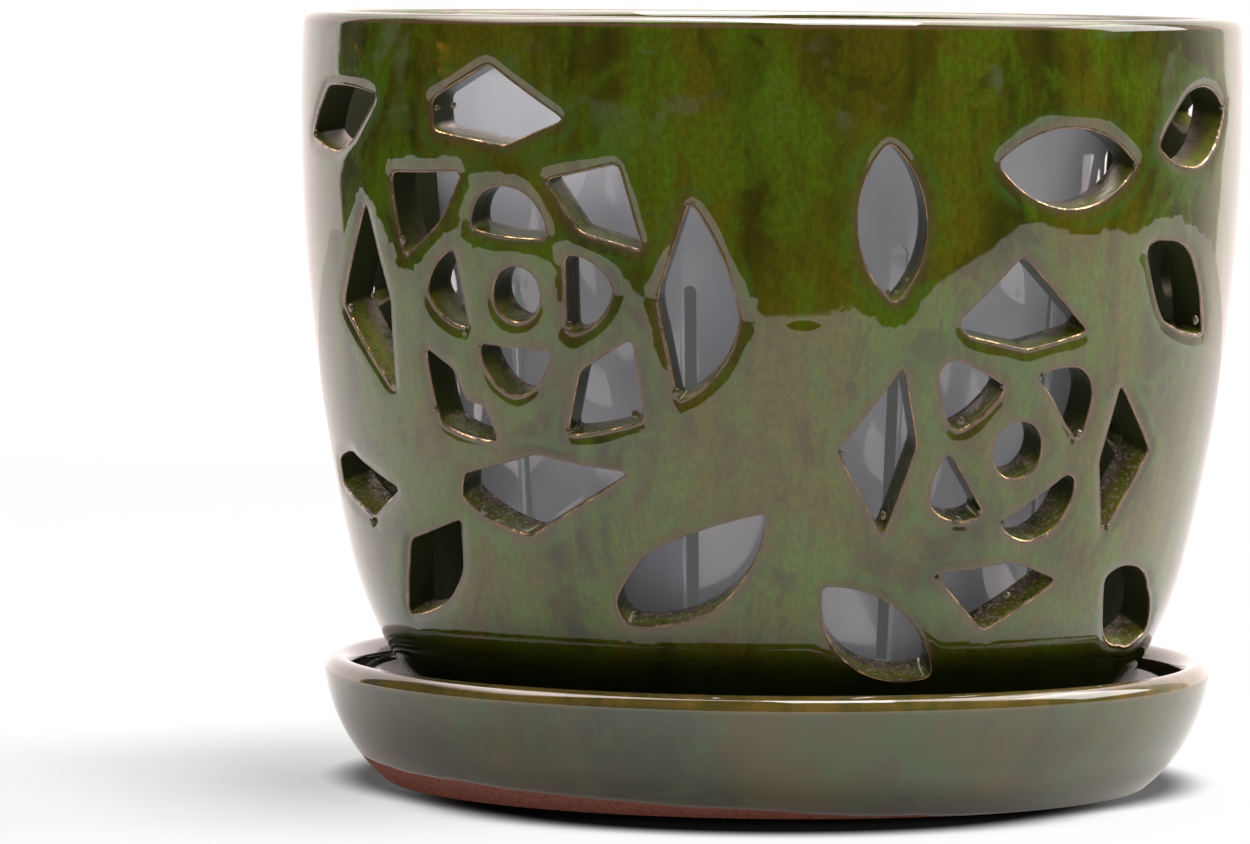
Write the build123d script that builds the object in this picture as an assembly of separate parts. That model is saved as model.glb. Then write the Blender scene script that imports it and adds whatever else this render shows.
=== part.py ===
from build123d import *

import os
from dataclasses import dataclass
from math import asin, cos, degrees, hypot, radians, sin, sqrt

# Orchid pot with slots: a glazed pot whose wall is pierced all round, the saucer
# it stands in, and the slotted liner that holds the plant inside it.
# Lengths are in millimetres and angles in degrees. +Z is up, the origin is on the
# table under the middle of the saucer, and the side the picture shows faces -Y.

# Pot: an upright flank that is widest near the rim, and a round heel below it.
pot_height = 138.0
pot_belly_radius = 89.3
pot_belly_rise = 123.0
pot_heel_rise = 36.3
pot_heel_inset = 10.3
pot_foot_inset = 22.0
pot_wall = 6.6
pot_floor = 7.0
pot_rim_rounding = 2.4
pot_foot_ring_width = 8.0
pot_foot_ring_height = 3.0
pot_drain_radius = 9.0

# Saucer: it follows the pot's heel at one gap all round.
saucer_height = 23.3
saucer_floor = 7.0
saucer_gap = 8.0
saucer_lip_width = 5.0
saucer_lip_rise = 3.7
saucer_flare = 11.5
saucer_bulge = 2.1
saucer_floor_margin = 9.5
saucer_dish = 2.4
saucer_foot_ring_width = 9.0
saucer_foot_ring_height = 1.5

# Liner: a thin tapered plastic pot with upright slots, each in a shallow flute.
liner_wall = 1.2
liner_floor = 1.5
liner_rim_drop = 6.0
liner_rim_width = 2.4
liner_rim_depth = 3.0
liner_mouth_gap = 17.4
liner_base_gap = 2.0
flute_count = 10
flute_first_azimuth = -13.8
flute_width = 3.4
flute_depth = 0.5
flute_foot_rise = 5.0
flute_head_rise = 86.5
slot_width = 2.4
slot_foot_rise = 8.0
slot_head_rise = 79.0
drain_hole_count = 8
drain_hole_radius = 3.0
drain_ring_share = 0.62

# Cut-outs: two flowers of different reach, and leaves, cut with a knife that points
# a little upward as it goes in. A rise share is a height above the pot's foot, as a
# share of the pot's height.
large_flower_reach = 45.0
large_flower_rise_share = 0.635
large_flower_azimuth = -31.7
small_flower_reach = 37.0
small_flower_rise_share = 0.4355
small_flower_azimuth = 32.7
leaf_length = 30.0
knife_tilt = 8.0
overrun = 3.0

# The front pair of flowers comes again on the far side, and one small flower with
# its leaves closes the ring. The large flower there has no left kite, because it would
# show at the edge of the side that faces the front.
far_pair_azimuth = 140.0
far_missing_shape = "left_kite"
closing_flower_azimuth = -108.0

# An outline is a list of corners, clockwise as seen from outside. Each row holds a
# corner's place to the right and up, as shares of the motif's size, and the bow of
# the edge that leaves it, as a share of that edge's length.
LARGE_FLOWER_SHARES = {
    "heart": ((0.0, 0.11, 0.5), (0.0, -0.11, 0.5)),
    "upper_bud": ((-0.21, 0.26, 0.25), (-0.04, 0.43, 0.2), (0.15, 0.23, 0.03)),
    "right_bud": ((0.24, 0.16, 0.17), (0.44, 0.03, 0.18), (0.24, -0.15, 0.0)),
    "lower_bud": ((-0.2, -0.21, 0.0), (0.15, -0.23, 0.17), (-0.04, -0.41, 0.16)),
    "left_bud": ((-0.32, 0.17, 0.0), (-0.26, -0.14, 0.14), (-0.48, 0.0, 0.12)),
    "upper_left_petal": (
        (-0.68, 0.47, 0.0), (-0.27, 0.48, 0.03), (-0.4, 0.28, 0.0), (-0.6, 0.14, 0.05),
    ),
    "upper_right_petal": (
        (0.16, 0.46, 0.0), (0.47, 0.53, 0.0), (0.57, 0.19, 0.0), (0.31, 0.26, 0.0),
    ),
    "lower_left_petal": (
        (-0.52, -0.24, 0.0), (-0.36, -0.32, 0.0), (-0.31, -0.44, 0.0),
        (-0.21, -0.46, 0.0), (-0.15, -0.6, 0.05), (-0.46, -0.54, 0.03),
    ),
    "lower_right_petal": (
        (0.29, -0.3, 0.0), (0.52, -0.17, 0.0), (0.56, -0.49, 0.03), (0.22, -0.56, 0.0),
    ),
    "upper_kite": (
        (-0.42, 0.77, 0.0), (-0.12, 0.92, 0.0), (0.23, 0.7, 0.0), (-0.04, 0.6, 0.0),
        (-0.41, 0.65, 0.0),
    ),
    "right_kite": (
        (0.77, 0.38, 0.07), (0.97, -0.09, 0.12), (0.72, -0.41, 0.0), (0.64, 0.0, 0.0),
    ),
    "lower_kite": (
        (-0.36, -0.75, 0.0), (0.04, -0.65, 0.0), (0.48, -0.73, 0.0),
        (-0.03, -0.98, 0.05), (-0.39, -0.84, 0.0),
    ),
    "left_kite": (
        (-0.89, 0.34, 0.0), (-0.74, -0.05, 0.0), (-0.77, -0.42, 0.0), (-1.15, -0.08, 0.0),
    ),
}

SMALL_FLOWER_SHARES = {
    "heart": ((0.0, 0.14, 0.5), (0.0, -0.14, 0.5)),
    "upper_left_petal": (
        (-0.49, 0.37, 0.2), (-0.41, 0.45, 0.04), (-0.12, 0.31, 0.08), (-0.38, 0.1, 0.1),
    ),
    "upper_right_petal": (
        (0.08, 0.36, 0.06), (0.29, 0.4, 0.2), (0.46, 0.27, 0.06), (0.4, 0.04, 0.04),
        (0.2, 0.25, 0.0),
    ),
    "lower_left_petal": ((-0.41, -0.01, 0.0), (-0.18, -0.31, 0.2), (-0.49, -0.26, 0.1)),
    "lower_right_petal": (
        (-0.05, -0.37, 0.0), (0.36, -0.13, 0.0), (0.42, -0.16, 0.18), (0.18, -0.45, 0.12),
    ),
    "upper_kite": (
        (-0.4, 0.63, 0.0), (-0.06, 0.95, 0.0), (0.37, 0.57, 0.0), (0.0, 0.5, 0.0),
        (-0.35, 0.57, 0.0),
    ),
    "left_kite": (
        (-0.69, 0.41, 0.0), (-0.6, 0.03, 0.0), (-0.75, -0.41, 0.0), (-1.01, 0.0, 0.0),
    ),
    "right_kite": (
        (0.68, 0.3, 0.0), (1.02, -0.03, 0.0), (0.71, -0.43, 0.0), (0.59, -0.07, 0.0),
    ),
    "lower_kite": (
        (-0.42, -0.62, 0.0), (0.07, -0.56, 0.0), (0.39, -0.67, 0.0), (-0.06, -0.9, 0.0),
    ),
}

# Each leaf has its azimuth from the middle of the front, its height as a share of the
# pot's height, and its outline in shares of the leaf's length.
PAIR_LEAF_SHARES = {
    "upright": (14.3, 0.735, ((-0.03, 0.48, 0.22), (0.03, -0.48, 0.22))),
    "level": (37.9, 0.809, ((-0.54, 0.01, 0.205), (0.54, -0.01, 0.235))),
    "high": (60.3, 0.854, (
        (-0.38, -0.1, 0.05), (-0.07, 0.21, 0.15), (0.5, 0.11, 0.18), (-0.05, -0.22, 0.08),
    )),
    "drooping": (58.9, 0.651, (
        (-0.38, 0.21, 0.1), (-0.17, 0.25, 0.12), (0.21, 0.1, 0.05), (0.46, -0.34, 0.04),
        (-0.13, -0.23, 0.06),
    )),
    "long": (-12.2, 0.262, (
        (-0.42, -0.14, 0.05), (-0.16, 0.18, 0.04), (0.64, 0.4, 0.1), (0.28, -0.15, 0.08),
        (-0.33, -0.29, 0.15),
    )),
    "lowest": (15.6, 0.191, ((-0.44, 0.28, 0.2), (0.44, -0.28, 0.26))),
    "round": (61.1, 0.21, (
        (-0.46, 0.19, 0.1), (-0.19, 0.26, 0.12), (0.25, 0.09, 0.08), (0.57, -0.2, 0.12),
        (0.1, -0.24, 0.12), (-0.28, -0.11, 0.04),
    )),
}

CLOSING_LEAF_SHARES = {
    "low": (-50.9, 0.259, (
        (-0.23, 0.17, 0.0), (0.37, 0.32, 0.0), (0.3, 0.02, 0.04), (0.08, -0.18, 0.04),
        (-0.51, -0.33, 0.0),
    )),
    "side": (-67.5, 0.362, (
        (-0.08, 0.2, 0.0), (0.58, -0.01, 0.0), (0.11, -0.19, 0.0), (-0.53, -0.03, 0.05),
        (-0.49, 0.12, 0.05),
    )),
    "top": (-63.9, 0.854, (
        (-0.18, 0.21, 0.04), (0.48, 0.16, 0.0), (0.2, -0.1, 0.0), (-0.01, -0.18, 0.04),
        (-0.5, -0.1, 0.05),
    )),
}

# Where the pieces stand: the pot's foot on the saucer's floor, and the liner on the
# pot's floor.
pot_foot_z = saucer_floor
pot_floor_z = pot_foot_z + pot_foot_ring_height + pot_floor
pot_rim_z = pot_foot_z + pot_height


@dataclass(frozen=True)
class Wall:
    """The section of a round wall: a flank arc over a heel arc, tangent where they meet."""

    belly_radius: float
    belly_z: float
    heel_radius: float
    heel_z: float
    foot_radius: float
    foot_z: float

    @property
    def flank(self):
        """Radius of the flank's arc, which is upright at the belly."""
        inset = self.belly_radius - self.heel_radius
        return (inset**2 + (self.belly_z - self.heel_z) ** 2) / (2 * inset)

    @property
    def heel_normal(self):
        """The outward direction where the two arcs meet, in the section."""
        across = (self.heel_radius - self.belly_radius + self.flank) / self.flank
        return across, (self.heel_z - self.belly_z) / self.flank

    @property
    def heel(self):
        """Radius of the heel's arc, from the flank's end to the foot."""
        out = self.heel_radius - self.foot_radius
        up = self.heel_z - self.foot_z
        normal = self.heel_normal
        return (out**2 + up**2) / (2 * (out * normal[0] + up * normal[1]))

    def arc_at(self, z):
        """Centre and radius of the arc that holds the wall at a height."""
        if z >= self.heel_z:
            return self.belly_radius - self.flank, self.belly_z, self.flank
        normal = self.heel_normal
        centre_r = self.heel_radius - self.heel * normal[0]
        return centre_r, self.heel_z - self.heel * normal[1], self.heel

    def radius(self, z, depth=0.0):
        """Radius of the face that lies depth inside the wall's outer face."""
        centre_r, centre_z, arc = self.arc_at(z)
        return centre_r + sqrt((arc - depth) ** 2 - (z - centre_z) ** 2)

    def lean(self, z):
        """How far the outward direction points below level, in degrees."""
        _, centre_z, arc = self.arc_at(z)
        return degrees(asin((centre_z - z) / arc))

    def heel_end(self, depth=0.0):
        """Height where the flank turns into the heel, depth inside the wall."""
        return self.heel_z - depth * self.heel_normal[1]


pot_heel_radius = pot_belly_radius - pot_heel_inset
pot_foot_radius = pot_heel_radius - pot_foot_inset
wall = Wall(
    belly_radius=pot_belly_radius,
    belly_z=pot_foot_z + pot_belly_rise,
    heel_radius=pot_heel_radius,
    heel_z=pot_foot_z + pot_heel_rise,
    foot_radius=pot_foot_radius,
    foot_z=pot_foot_z,
)

liner_rim_z = pot_rim_z - liner_rim_drop
liner_mouth_radius = wall.radius(liner_rim_z, pot_wall) - liner_mouth_gap
liner_base_radius = wall.radius(pot_floor_z, pot_wall) - liner_base_gap
liner_taper = (liner_mouth_radius - liner_base_radius) / (liner_rim_z - pot_floor_z)

saucer_lip_inner_radius = wall.radius(saucer_height) + saucer_gap
saucer_radius = saucer_lip_inner_radius + saucer_lip_width
saucer_foot_radius = saucer_radius - saucer_flare
saucer_floor_radius = pot_foot_radius + saucer_floor_margin


def turned(edges):
    """The solid that a closed outline in the XZ plane makes when it goes round Z."""
    return revolve(make_face(edges), Axis.Z)


def section(radius, z):
    """A point of a section, in the XZ plane."""
    return Vector(radius, 0, z)


def chain(*points):
    """Straight edges from point to point."""
    return [Line(start, end) for start, end in zip(points, points[1:])]


def wall_arcs(top_z, foot_z, depth=0.0):
    """The wall's flank and heel arcs from the top down, depth inside its outer face."""
    heel_z = wall.heel_end(depth)
    centre_r, centre_z, arc = wall.arc_at(wall.heel_z)
    flank_middle_z = (top_z + heel_z) / 2
    flank_middle_r = centre_r + sqrt((arc - depth) ** 2 - (flank_middle_z - centre_z) ** 2)
    heel_r = centre_r + sqrt((arc - depth) ** 2 - (heel_z - centre_z) ** 2)
    heel_middle_z = (heel_z + foot_z) / 2
    return [
        ThreePointArc(
            section(wall.radius(top_z, depth), top_z),
            section(flank_middle_r, flank_middle_z),
            section(heel_r, heel_z),
        ),
        ThreePointArc(
            section(heel_r, heel_z),
            section(wall.radius(heel_middle_z, depth), heel_middle_z),
            section(wall.radius(foot_z, depth), foot_z),
        ),
    ]


def pot_body():
    """The pot as it comes off the wheel, before anything is cut out."""
    hollow_z = pot_foot_z + pot_foot_ring_height
    ring_radius = pot_foot_radius - pot_foot_ring_width
    outer = wall_arcs(pot_rim_z, pot_foot_z)
    inner = wall_arcs(pot_rim_z, pot_floor_z, pot_wall)
    rim = [Line(outer[0] @ 0, inner[0] @ 0)]
    base = chain(
        outer[1] @ 1,
        section(ring_radius, pot_foot_z),
        section(ring_radius, hollow_z),
        section(pot_drain_radius, hollow_z),
        section(pot_drain_radius, pot_floor_z),
        inner[1] @ 1,
    )
    body = turned(outer + inner + rim + base)
    lip = body.edges().filter_by(GeomType.CIRCLE).group_by(Axis.Z)[-1]
    return fillet(lip, pot_rim_rounding)


def outline_edges(corners):
    """The closed outline through corners, each a place and the bow of its edge."""
    edges = []
    for corner, following in zip(corners, corners[1:] + corners[:1]):
        start = Vector(corner[0], corner[1])
        end = Vector(following[0], following[1])
        bow = corner[2]
        if bow == 0:
            edges.append(Line(start, end))
            continue
        run = end - start
        outward = Vector(-run.Y, run.X)
        edges.append(ThreePointArc(start, (start + end) / 2 + outward * bow, end))
    return edges


def cut_out(outline_shares, size, azimuth, height):
    """One cutter for the pot's wall, from a motif's centre, size and outline shares."""
    places = [(x * size, y * size, bow) for x, y, bow in outline_shares]
    middle_x = sum(place[0] for place in places) / len(places)
    middle_y = sum(place[1] for place in places) / len(places)
    z = height + middle_y
    angle = radians(azimuth) + middle_x / pot_belly_radius
    lean = wall.lean(z)
    dip = radians(lean + knife_tilt)
    narrowing = wall.radius(z) / pot_belly_radius
    slope = cos(radians(knife_tilt)) / cos(radians(lean))
    corners = [
        ((x - middle_x) * narrowing, (y - middle_y) * slope, bow) for x, y, bow in places
    ]
    outward = Vector(sin(angle) * cos(dip), -cos(angle) * cos(dip), -sin(dip))
    on_wall = Vector(wall.radius(z) * sin(angle), -wall.radius(z) * cos(angle), z)
    start = Plane(
        origin=on_wall + outward * (pot_wall / 2 + overrun),
        x_dir=Vector(cos(angle), sin(angle), 0),
        z_dir=outward,
    )
    face = start * make_face(outline_edges(corners))
    return extrude(face, -2 * (pot_wall + overrun))


def flower(motif_shares, reach, azimuth, height):
    """The cutters of one flower."""
    return [cut_out(shares, reach, azimuth, height) for shares in motif_shares.values()]


def leaves(leaf_shares, turn):
    """The cutters of a group of leaves, turned about the pot's axis."""
    return [
        cut_out(shares, leaf_length, azimuth + turn, pot_foot_z + rise_share * pot_height)
        for azimuth, rise_share, shares in leaf_shares.values()
    ]


def wall_cutters():
    """Every cut-out in the pot's wall."""
    large_z = pot_foot_z + large_flower_rise_share * pot_height
    small_z = pot_foot_z + small_flower_rise_share * pot_height
    far_large_shares = {
        name: shares for name, shares in LARGE_FLOWER_SHARES.items() if name != far_missing_shape
    }
    cutters = []
    for turn, large_shares in ((0, LARGE_FLOWER_SHARES), (far_pair_azimuth, far_large_shares)):
        large_at = turn + large_flower_azimuth
        small_at = turn + small_flower_azimuth
        cutters += flower(large_shares, large_flower_reach, large_at, large_z)
        cutters += flower(SMALL_FLOWER_SHARES, small_flower_reach, small_at, small_z)
        cutters += leaves(PAIR_LEAF_SHARES, turn)
    cutters += flower(SMALL_FLOWER_SHARES, small_flower_reach, closing_flower_azimuth, small_z)
    cutters += leaves(CLOSING_LEAF_SHARES, 0)
    return cutters


def pot():
    """The pierced pot."""
    return pot_body() - wall_cutters()


def saucer():
    """The saucer: a flared dish on a foot ring, with a rounded lip."""
    lip_z = saucer_height - saucer_lip_rise
    ring_radius = saucer_foot_radius - saucer_foot_ring_width
    foot = section(saucer_foot_radius, 0)
    shoulder = section(saucer_radius, lip_z)
    lip_top = section(saucer_radius - saucer_lip_width / 2, saucer_height)
    lip_inner = section(saucer_lip_inner_radius, lip_z)
    floor_edge = section(saucer_floor_radius, saucer_floor)
    run = (shoulder - foot).normalized()
    outer_middle = (foot + shoulder) / 2 + Vector(run.Z, 0, -run.X) * saucer_bulge
    drop = (floor_edge - lip_inner).normalized()
    inner_middle = (lip_inner + floor_edge) / 2 + Vector(-drop.Z, 0, drop.X) * saucer_dish
    edges = [
        ThreePointArc(foot, outer_middle, shoulder),
        ThreePointArc(shoulder, lip_top, lip_inner),
        ThreePointArc(lip_inner, inner_middle, floor_edge),
    ]
    edges += chain(
        floor_edge,
        section(0, saucer_floor),
        section(0, saucer_foot_ring_height),
        section(ring_radius, saucer_foot_ring_height),
        section(ring_radius, 0),
        foot,
    )
    return turned(edges)


def liner_radius(z):
    """Outer radius of the liner's wall at a height."""
    return liner_base_radius + (z - pot_floor_z) * liner_taper


def liner_body():
    """The liner's tapered cup with its rolled rim."""
    inner_floor_z = pot_floor_z + liner_floor
    rim_foot_z = liner_rim_z - liner_rim_depth
    return turned(
        chain(
            section(0, pot_floor_z),
            section(liner_base_radius, pot_floor_z),
            section(liner_radius(rim_foot_z), rim_foot_z),
            section(liner_mouth_radius + liner_rim_width, rim_foot_z),
            section(liner_mouth_radius + liner_rim_width, liner_rim_z),
            section(liner_mouth_radius - liner_wall, liner_rim_z),
            section(liner_radius(inner_floor_z) - liner_wall, inner_floor_z),
            section(0, inner_floor_z),
            section(0, pot_floor_z),
        )
    )


def upright_slot(azimuth, width, foot_rise, head_rise):
    """A cutter with round ends that stands across the liner's wall at an azimuth."""
    angle = radians(azimuth)
    outward = Vector(sin(angle), -cos(angle), 0)
    middle_z = pot_floor_z + (foot_rise + head_rise) / 2
    across = Plane(
        origin=Vector(0, 0, middle_z) + outward * (liner_base_radius / 2),
        x_dir=Vector(0, 0, 1),
        z_dir=outward,
    )
    face = across * SlotOverall(head_rise - foot_rise, width)
    return extrude(face, liner_mouth_radius)


def flute_band():
    """The skin of the liner's wall that the flutes are sunk into."""
    foot_z = pot_floor_z
    head_z = liner_rim_z - liner_rim_depth
    return turned(
        chain(
            section(liner_radius(foot_z) - flute_depth, foot_z),
            section(liner_radius(foot_z) + overrun, foot_z),
            section(liner_radius(head_z) + overrun, head_z),
            section(liner_radius(head_z) - flute_depth, head_z),
            section(liner_radius(foot_z) - flute_depth, foot_z),
        )
    )


def drain_holes():
    """The holes in the liner's floor: one in the middle and a ring round it."""
    radius = liner_base_radius * drain_ring_share
    ring = PolarLocations(radius, drain_hole_count)
    middle_z = pot_floor_z + liner_floor / 2
    hole = Cylinder(drain_hole_radius, 2 * (liner_floor + overrun))
    return [Pos(0, 0, middle_z) * place * hole for place in [Location()] + list(ring)]


def liner():
    """The slotted liner."""
    step = 360 / flute_count
    azimuths = [flute_first_azimuth + step * index for index in range(flute_count)]
    band = flute_band()
    flutes = [
        upright_slot(azimuth, flute_width, flute_foot_rise, flute_head_rise) & band
        for azimuth in azimuths
    ]
    slots = [
        upright_slot(azimuth, slot_width, slot_foot_rise, slot_head_rise)
        for azimuth in azimuths
    ]
    return liner_body() - flutes - slots - drain_holes()


def report_wall():
    """Prints the sizes that the named values lead to."""
    print(f"pot: foot radius {pot_foot_radius:.1f}, rim radius {wall.radius(pot_rim_z):.1f}")
    print(f"flank arc {wall.flank:.1f}, heel arc {wall.heel:.1f}")
    print(f"saucer: radius {saucer_radius:.1f}, foot radius {saucer_foot_radius:.1f}")
    print(f"liner: base radius {liner_base_radius:.1f}, mouth radius {liner_mouth_radius:.1f}")


os.makedirs("parts", exist_ok=True)
for name, make in (("saucer", saucer), ("pot", pot), ("liner", liner)):
    export_step(make(), f"parts/{name}.step")
report_wall()
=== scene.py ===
"""Dresses the orchid pot with slots: a green glazed pot with cut-out flowers and leaves, its
glazed saucer on a bare clay foot, and the slotted plastic liner that stands inside.

Lengths are in metres. +Z is up, and the side that the picture shows faces -Y. An azimuth runs
round the axis from that side, towards +X.
"""

import logging
import math
from dataclasses import dataclass, field
from enum import Enum
from typing import Any, Sequence

import bmesh
import bpy
import numpy as np
from mathutils import Matrix, Vector, noise
from mathutils.geometry import delaunay_2d_cdt
from mathutils.kdtree import KDTree


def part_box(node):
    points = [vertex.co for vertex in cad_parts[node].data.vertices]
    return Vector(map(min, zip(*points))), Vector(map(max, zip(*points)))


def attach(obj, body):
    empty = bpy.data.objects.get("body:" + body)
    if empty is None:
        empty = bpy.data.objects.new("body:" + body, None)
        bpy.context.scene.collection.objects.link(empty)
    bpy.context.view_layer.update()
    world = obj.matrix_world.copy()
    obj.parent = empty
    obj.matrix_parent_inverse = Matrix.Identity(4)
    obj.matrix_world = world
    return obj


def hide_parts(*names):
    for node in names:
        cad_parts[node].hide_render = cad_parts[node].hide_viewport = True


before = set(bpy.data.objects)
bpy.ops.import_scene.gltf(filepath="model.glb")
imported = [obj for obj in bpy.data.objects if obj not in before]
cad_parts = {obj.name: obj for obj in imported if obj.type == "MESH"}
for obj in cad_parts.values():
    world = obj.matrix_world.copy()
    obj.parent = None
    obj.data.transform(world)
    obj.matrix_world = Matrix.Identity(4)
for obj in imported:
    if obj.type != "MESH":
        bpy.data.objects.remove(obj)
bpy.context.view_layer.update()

MM = 0.001
FULL_TURN = 2 * math.pi
INSIDE_GAP = -7 * MM
SAME_HEIGHT = 0.01 * MM
PICTURE_WIDTH = 1250
PICTURE_HEIGHT = 844

Colour = tuple[float, float, float]
Place = tuple[float, float, float]

log = logging.getLogger("orchid_pot")


class Part(Enum):
    """The parts of the set, each by the name of its CAD node and of the body it moves with."""

    SAUCER = "saucer"
    POT = "pot"
    LINER = "liner"


# Wall section


@dataclass(frozen=True)
class WallSection:
    """The section of the pot's wall: a flank arc over a heel arc, tangent where they meet.

    A point of the wall is given by its lean, the angle by which the outward direction points
    below level, and by its depth inside the outer face.
    """

    belly_radius: float
    belly_z: float
    heel_radius: float
    heel_z: float
    foot_radius: float
    foot_z: float
    thickness: float

    @property
    def flank(self) -> float:
        """Radius of the flank's arc."""
        inset = self.belly_radius - self.heel_radius
        return (inset**2 + (self.belly_z - self.heel_z) ** 2) / (2 * inset)

    @property
    def heel_lean(self) -> float:
        """The lean where the flank turns into the heel."""
        return math.asin((self.belly_z - self.heel_z) / self.flank)

    @property
    def heel(self) -> float:
        """Radius of the heel's arc, which ends at the foot.

        Returns:
            The radius.
        """
        out = self.heel_radius - self.foot_radius
        up = self.heel_z - self.foot_z
        across = math.cos(self.heel_lean)
        down = math.sin(self.heel_lean)
        return (out**2 + up**2) / (2 * (out * across - up * down))

    def section_point(self, lean: np.ndarray, depth: Any = 0.0) -> tuple[np.ndarray, np.ndarray]:
        """Places points of the section.

        Args:
            lean: The lean of each point, in radians.
            depth: How deep each point lies inside the outer face.

        Returns:
            The radius and the height of each point.
        """
        lean = np.asarray(lean, float)
        on_flank = lean <= self.heel_lean
        arc = np.where(on_flank, self.flank, self.heel)
        out = self.heel_radius - self.heel * math.cos(self.heel_lean)
        centre_r = np.where(on_flank, self.belly_radius - self.flank, out)
        up = self.heel_z + self.heel * math.sin(self.heel_lean)
        centre_z = np.where(on_flank, self.belly_z, up)
        return (
            centre_r + (arc - depth) * np.cos(lean),
            centre_z - (arc - depth) * np.sin(lean),
        )

    def lean_at(self, z: np.ndarray, depth: float = 0.0) -> np.ndarray:
        """Finds the lean of the wall at a height.

        Args:
            z: The heights.
            depth: How deep inside the outer face.

        Returns:
            The lean at each height, in radians.
        """
        z = np.asarray(z, float)
        heel_end = self.heel_z + depth * math.sin(self.heel_lean)
        up = self.heel_z + self.heel * math.sin(self.heel_lean)
        on_flank = np.arcsin(np.clip((self.belly_z - z) / (self.flank - depth), -1, 1))
        on_heel = np.arcsin(np.clip((up - z) / (self.heel - depth), -1, 1))
        return np.where(z >= heel_end, on_flank, on_heel)

    def radius_at(self, z: Any, depth: float = 0.0) -> np.ndarray:
        """The radius of the wall at each height, so deep inside the outer face."""
        return self.section_point(self.lean_at(np.asarray(z), depth), depth)[0]

    def rise_of(self, lean: np.ndarray, depth: float = 0.0) -> np.ndarray:
        """Length along the section from the belly, negative below it.

        Args:
            lean: The lean of each point.
            depth: How deep inside the outer face.

        Returns:
            The length up to each lean.
        """
        lean = np.asarray(lean, float)
        beyond = np.maximum(lean - self.heel_lean, 0)
        flank = (self.flank - depth) * np.minimum(lean, self.heel_lean)
        return -flank - (self.heel - depth) * beyond

    def lean_of(self, rise: np.ndarray, depth: float = 0.0) -> np.ndarray:
        """The inverse of rise_of.

        Args:
            rise: Lengths along the section.
            depth: How deep inside the outer face.

        Returns:
            The lean at each length.
        """
        down = -np.asarray(rise, float)
        flank_length = (self.flank - depth) * self.heel_lean
        on_heel = self.heel_lean + (down - flank_length) / (self.heel - depth)
        return np.where(down <= flank_length, down / (self.flank - depth), on_heel)

    def place(self, azimuth: np.ndarray, lean: np.ndarray, depth: Any = 0.0) -> np.ndarray:
        """Points of the wall in space, one row for each azimuth and lean."""
        radius, z = self.section_point(lean, depth)
        return np.stack([radius * np.sin(azimuth), -radius * np.cos(azimuth), z], axis=-1)

    def outward(self, azimuth: np.ndarray, lean: np.ndarray) -> np.ndarray:
        """Finds outward directions.

        Args:
            azimuth: The azimuth of each point.
            lean: Its lean.

        Returns:
            The outward direction at each point, one row for each.
        """
        level = np.cos(lean)
        return np.stack(
            [level * np.sin(azimuth), -level * np.cos(azimuth), -np.sin(lean)], axis=-1
        )

    def off_face(self, points: np.ndarray, depth: float) -> np.ndarray:
        """Measures how far points lie from a face of the wall.

        Args:
            points: The points, one row each.
            depth: How deep inside the outer face the face lies.

        Returns:
            The level distance of each point from it, more than 0 outside.
        """
        lean = self.lean_at(points[..., 2], depth)
        radius, _ = self.section_point(lean, depth)
        return np.hypot(points[..., 0], points[..., 1]) - radius


# Outlines


def resample(points: np.ndarray, spacing: float) -> np.ndarray:
    """Spreads points evenly along a closed outline.

    Args:
        points: The outline's corners, one row each.
        spacing: The wanted distance between points.

    Returns:
        The new points, as many as fit.
    """
    closed = np.vstack([points, points[:1]])
    steps = np.linalg.norm(np.diff(closed, axis=0), axis=1)
    travelled = np.concatenate([[0], np.cumsum(steps)])
    count = max(8, round(travelled[-1] / spacing))
    wanted = np.arange(count) * travelled[-1] / count
    return np.stack([np.interp(wanted, travelled, closed[:, k]) for k in (0, 1)], axis=1)


def soften(points: np.ndarray, passes: int) -> np.ndarray:
    """Rounds the corners of a closed outline by averaging neighbours.

    Args:
        points: The outline.
        passes: How often each point is drawn towards its neighbours.

    Returns:
        The softer outline.
    """
    for _ in range(passes):
        points = (np.roll(points, 1, 0) + 2 * points + np.roll(points, -1, 0)) / 4
    return points


def outward_of(points: np.ndarray) -> np.ndarray:
    """Finds the way out of a closed outline that runs anticlockwise.

    Args:
        points: The outline.

    Returns:
        The unit direction outwards at each point.
    """
    along = np.roll(points, -1, 0) - np.roll(points, 1, 0)
    along /= np.linalg.norm(along, axis=1)[:, None]
    return np.stack([along[:, 1], -along[:, 0]], axis=1)


def signed_area(points: np.ndarray) -> float:
    """Area inside a closed outline, positive where it runs anticlockwise."""
    following = np.roll(points, -1, 0)
    return float(np.sum(points[:, 0] * following[:, 1] - following[:, 0] * points[:, 1]) / 2)


def holds(outline: np.ndarray, point: np.ndarray) -> bool:
    """Tells whether a closed outline goes round a point.

    Args:
        outline: The outline.
        point: The point.

    Returns:
        Whether it does.
    """
    following = np.roll(outline, -1, 0)
    crosses = (outline[:, 1] > point[1]) != (following[:, 1] > point[1])
    run = following - outline
    rise = np.where(crosses, run[:, 1], 1.0)
    at = outline[:, 0] + (point[1] - outline[:, 1]) * run[:, 0] / rise
    return bool(np.sum(crosses & (at > point[0])) % 2)


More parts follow.
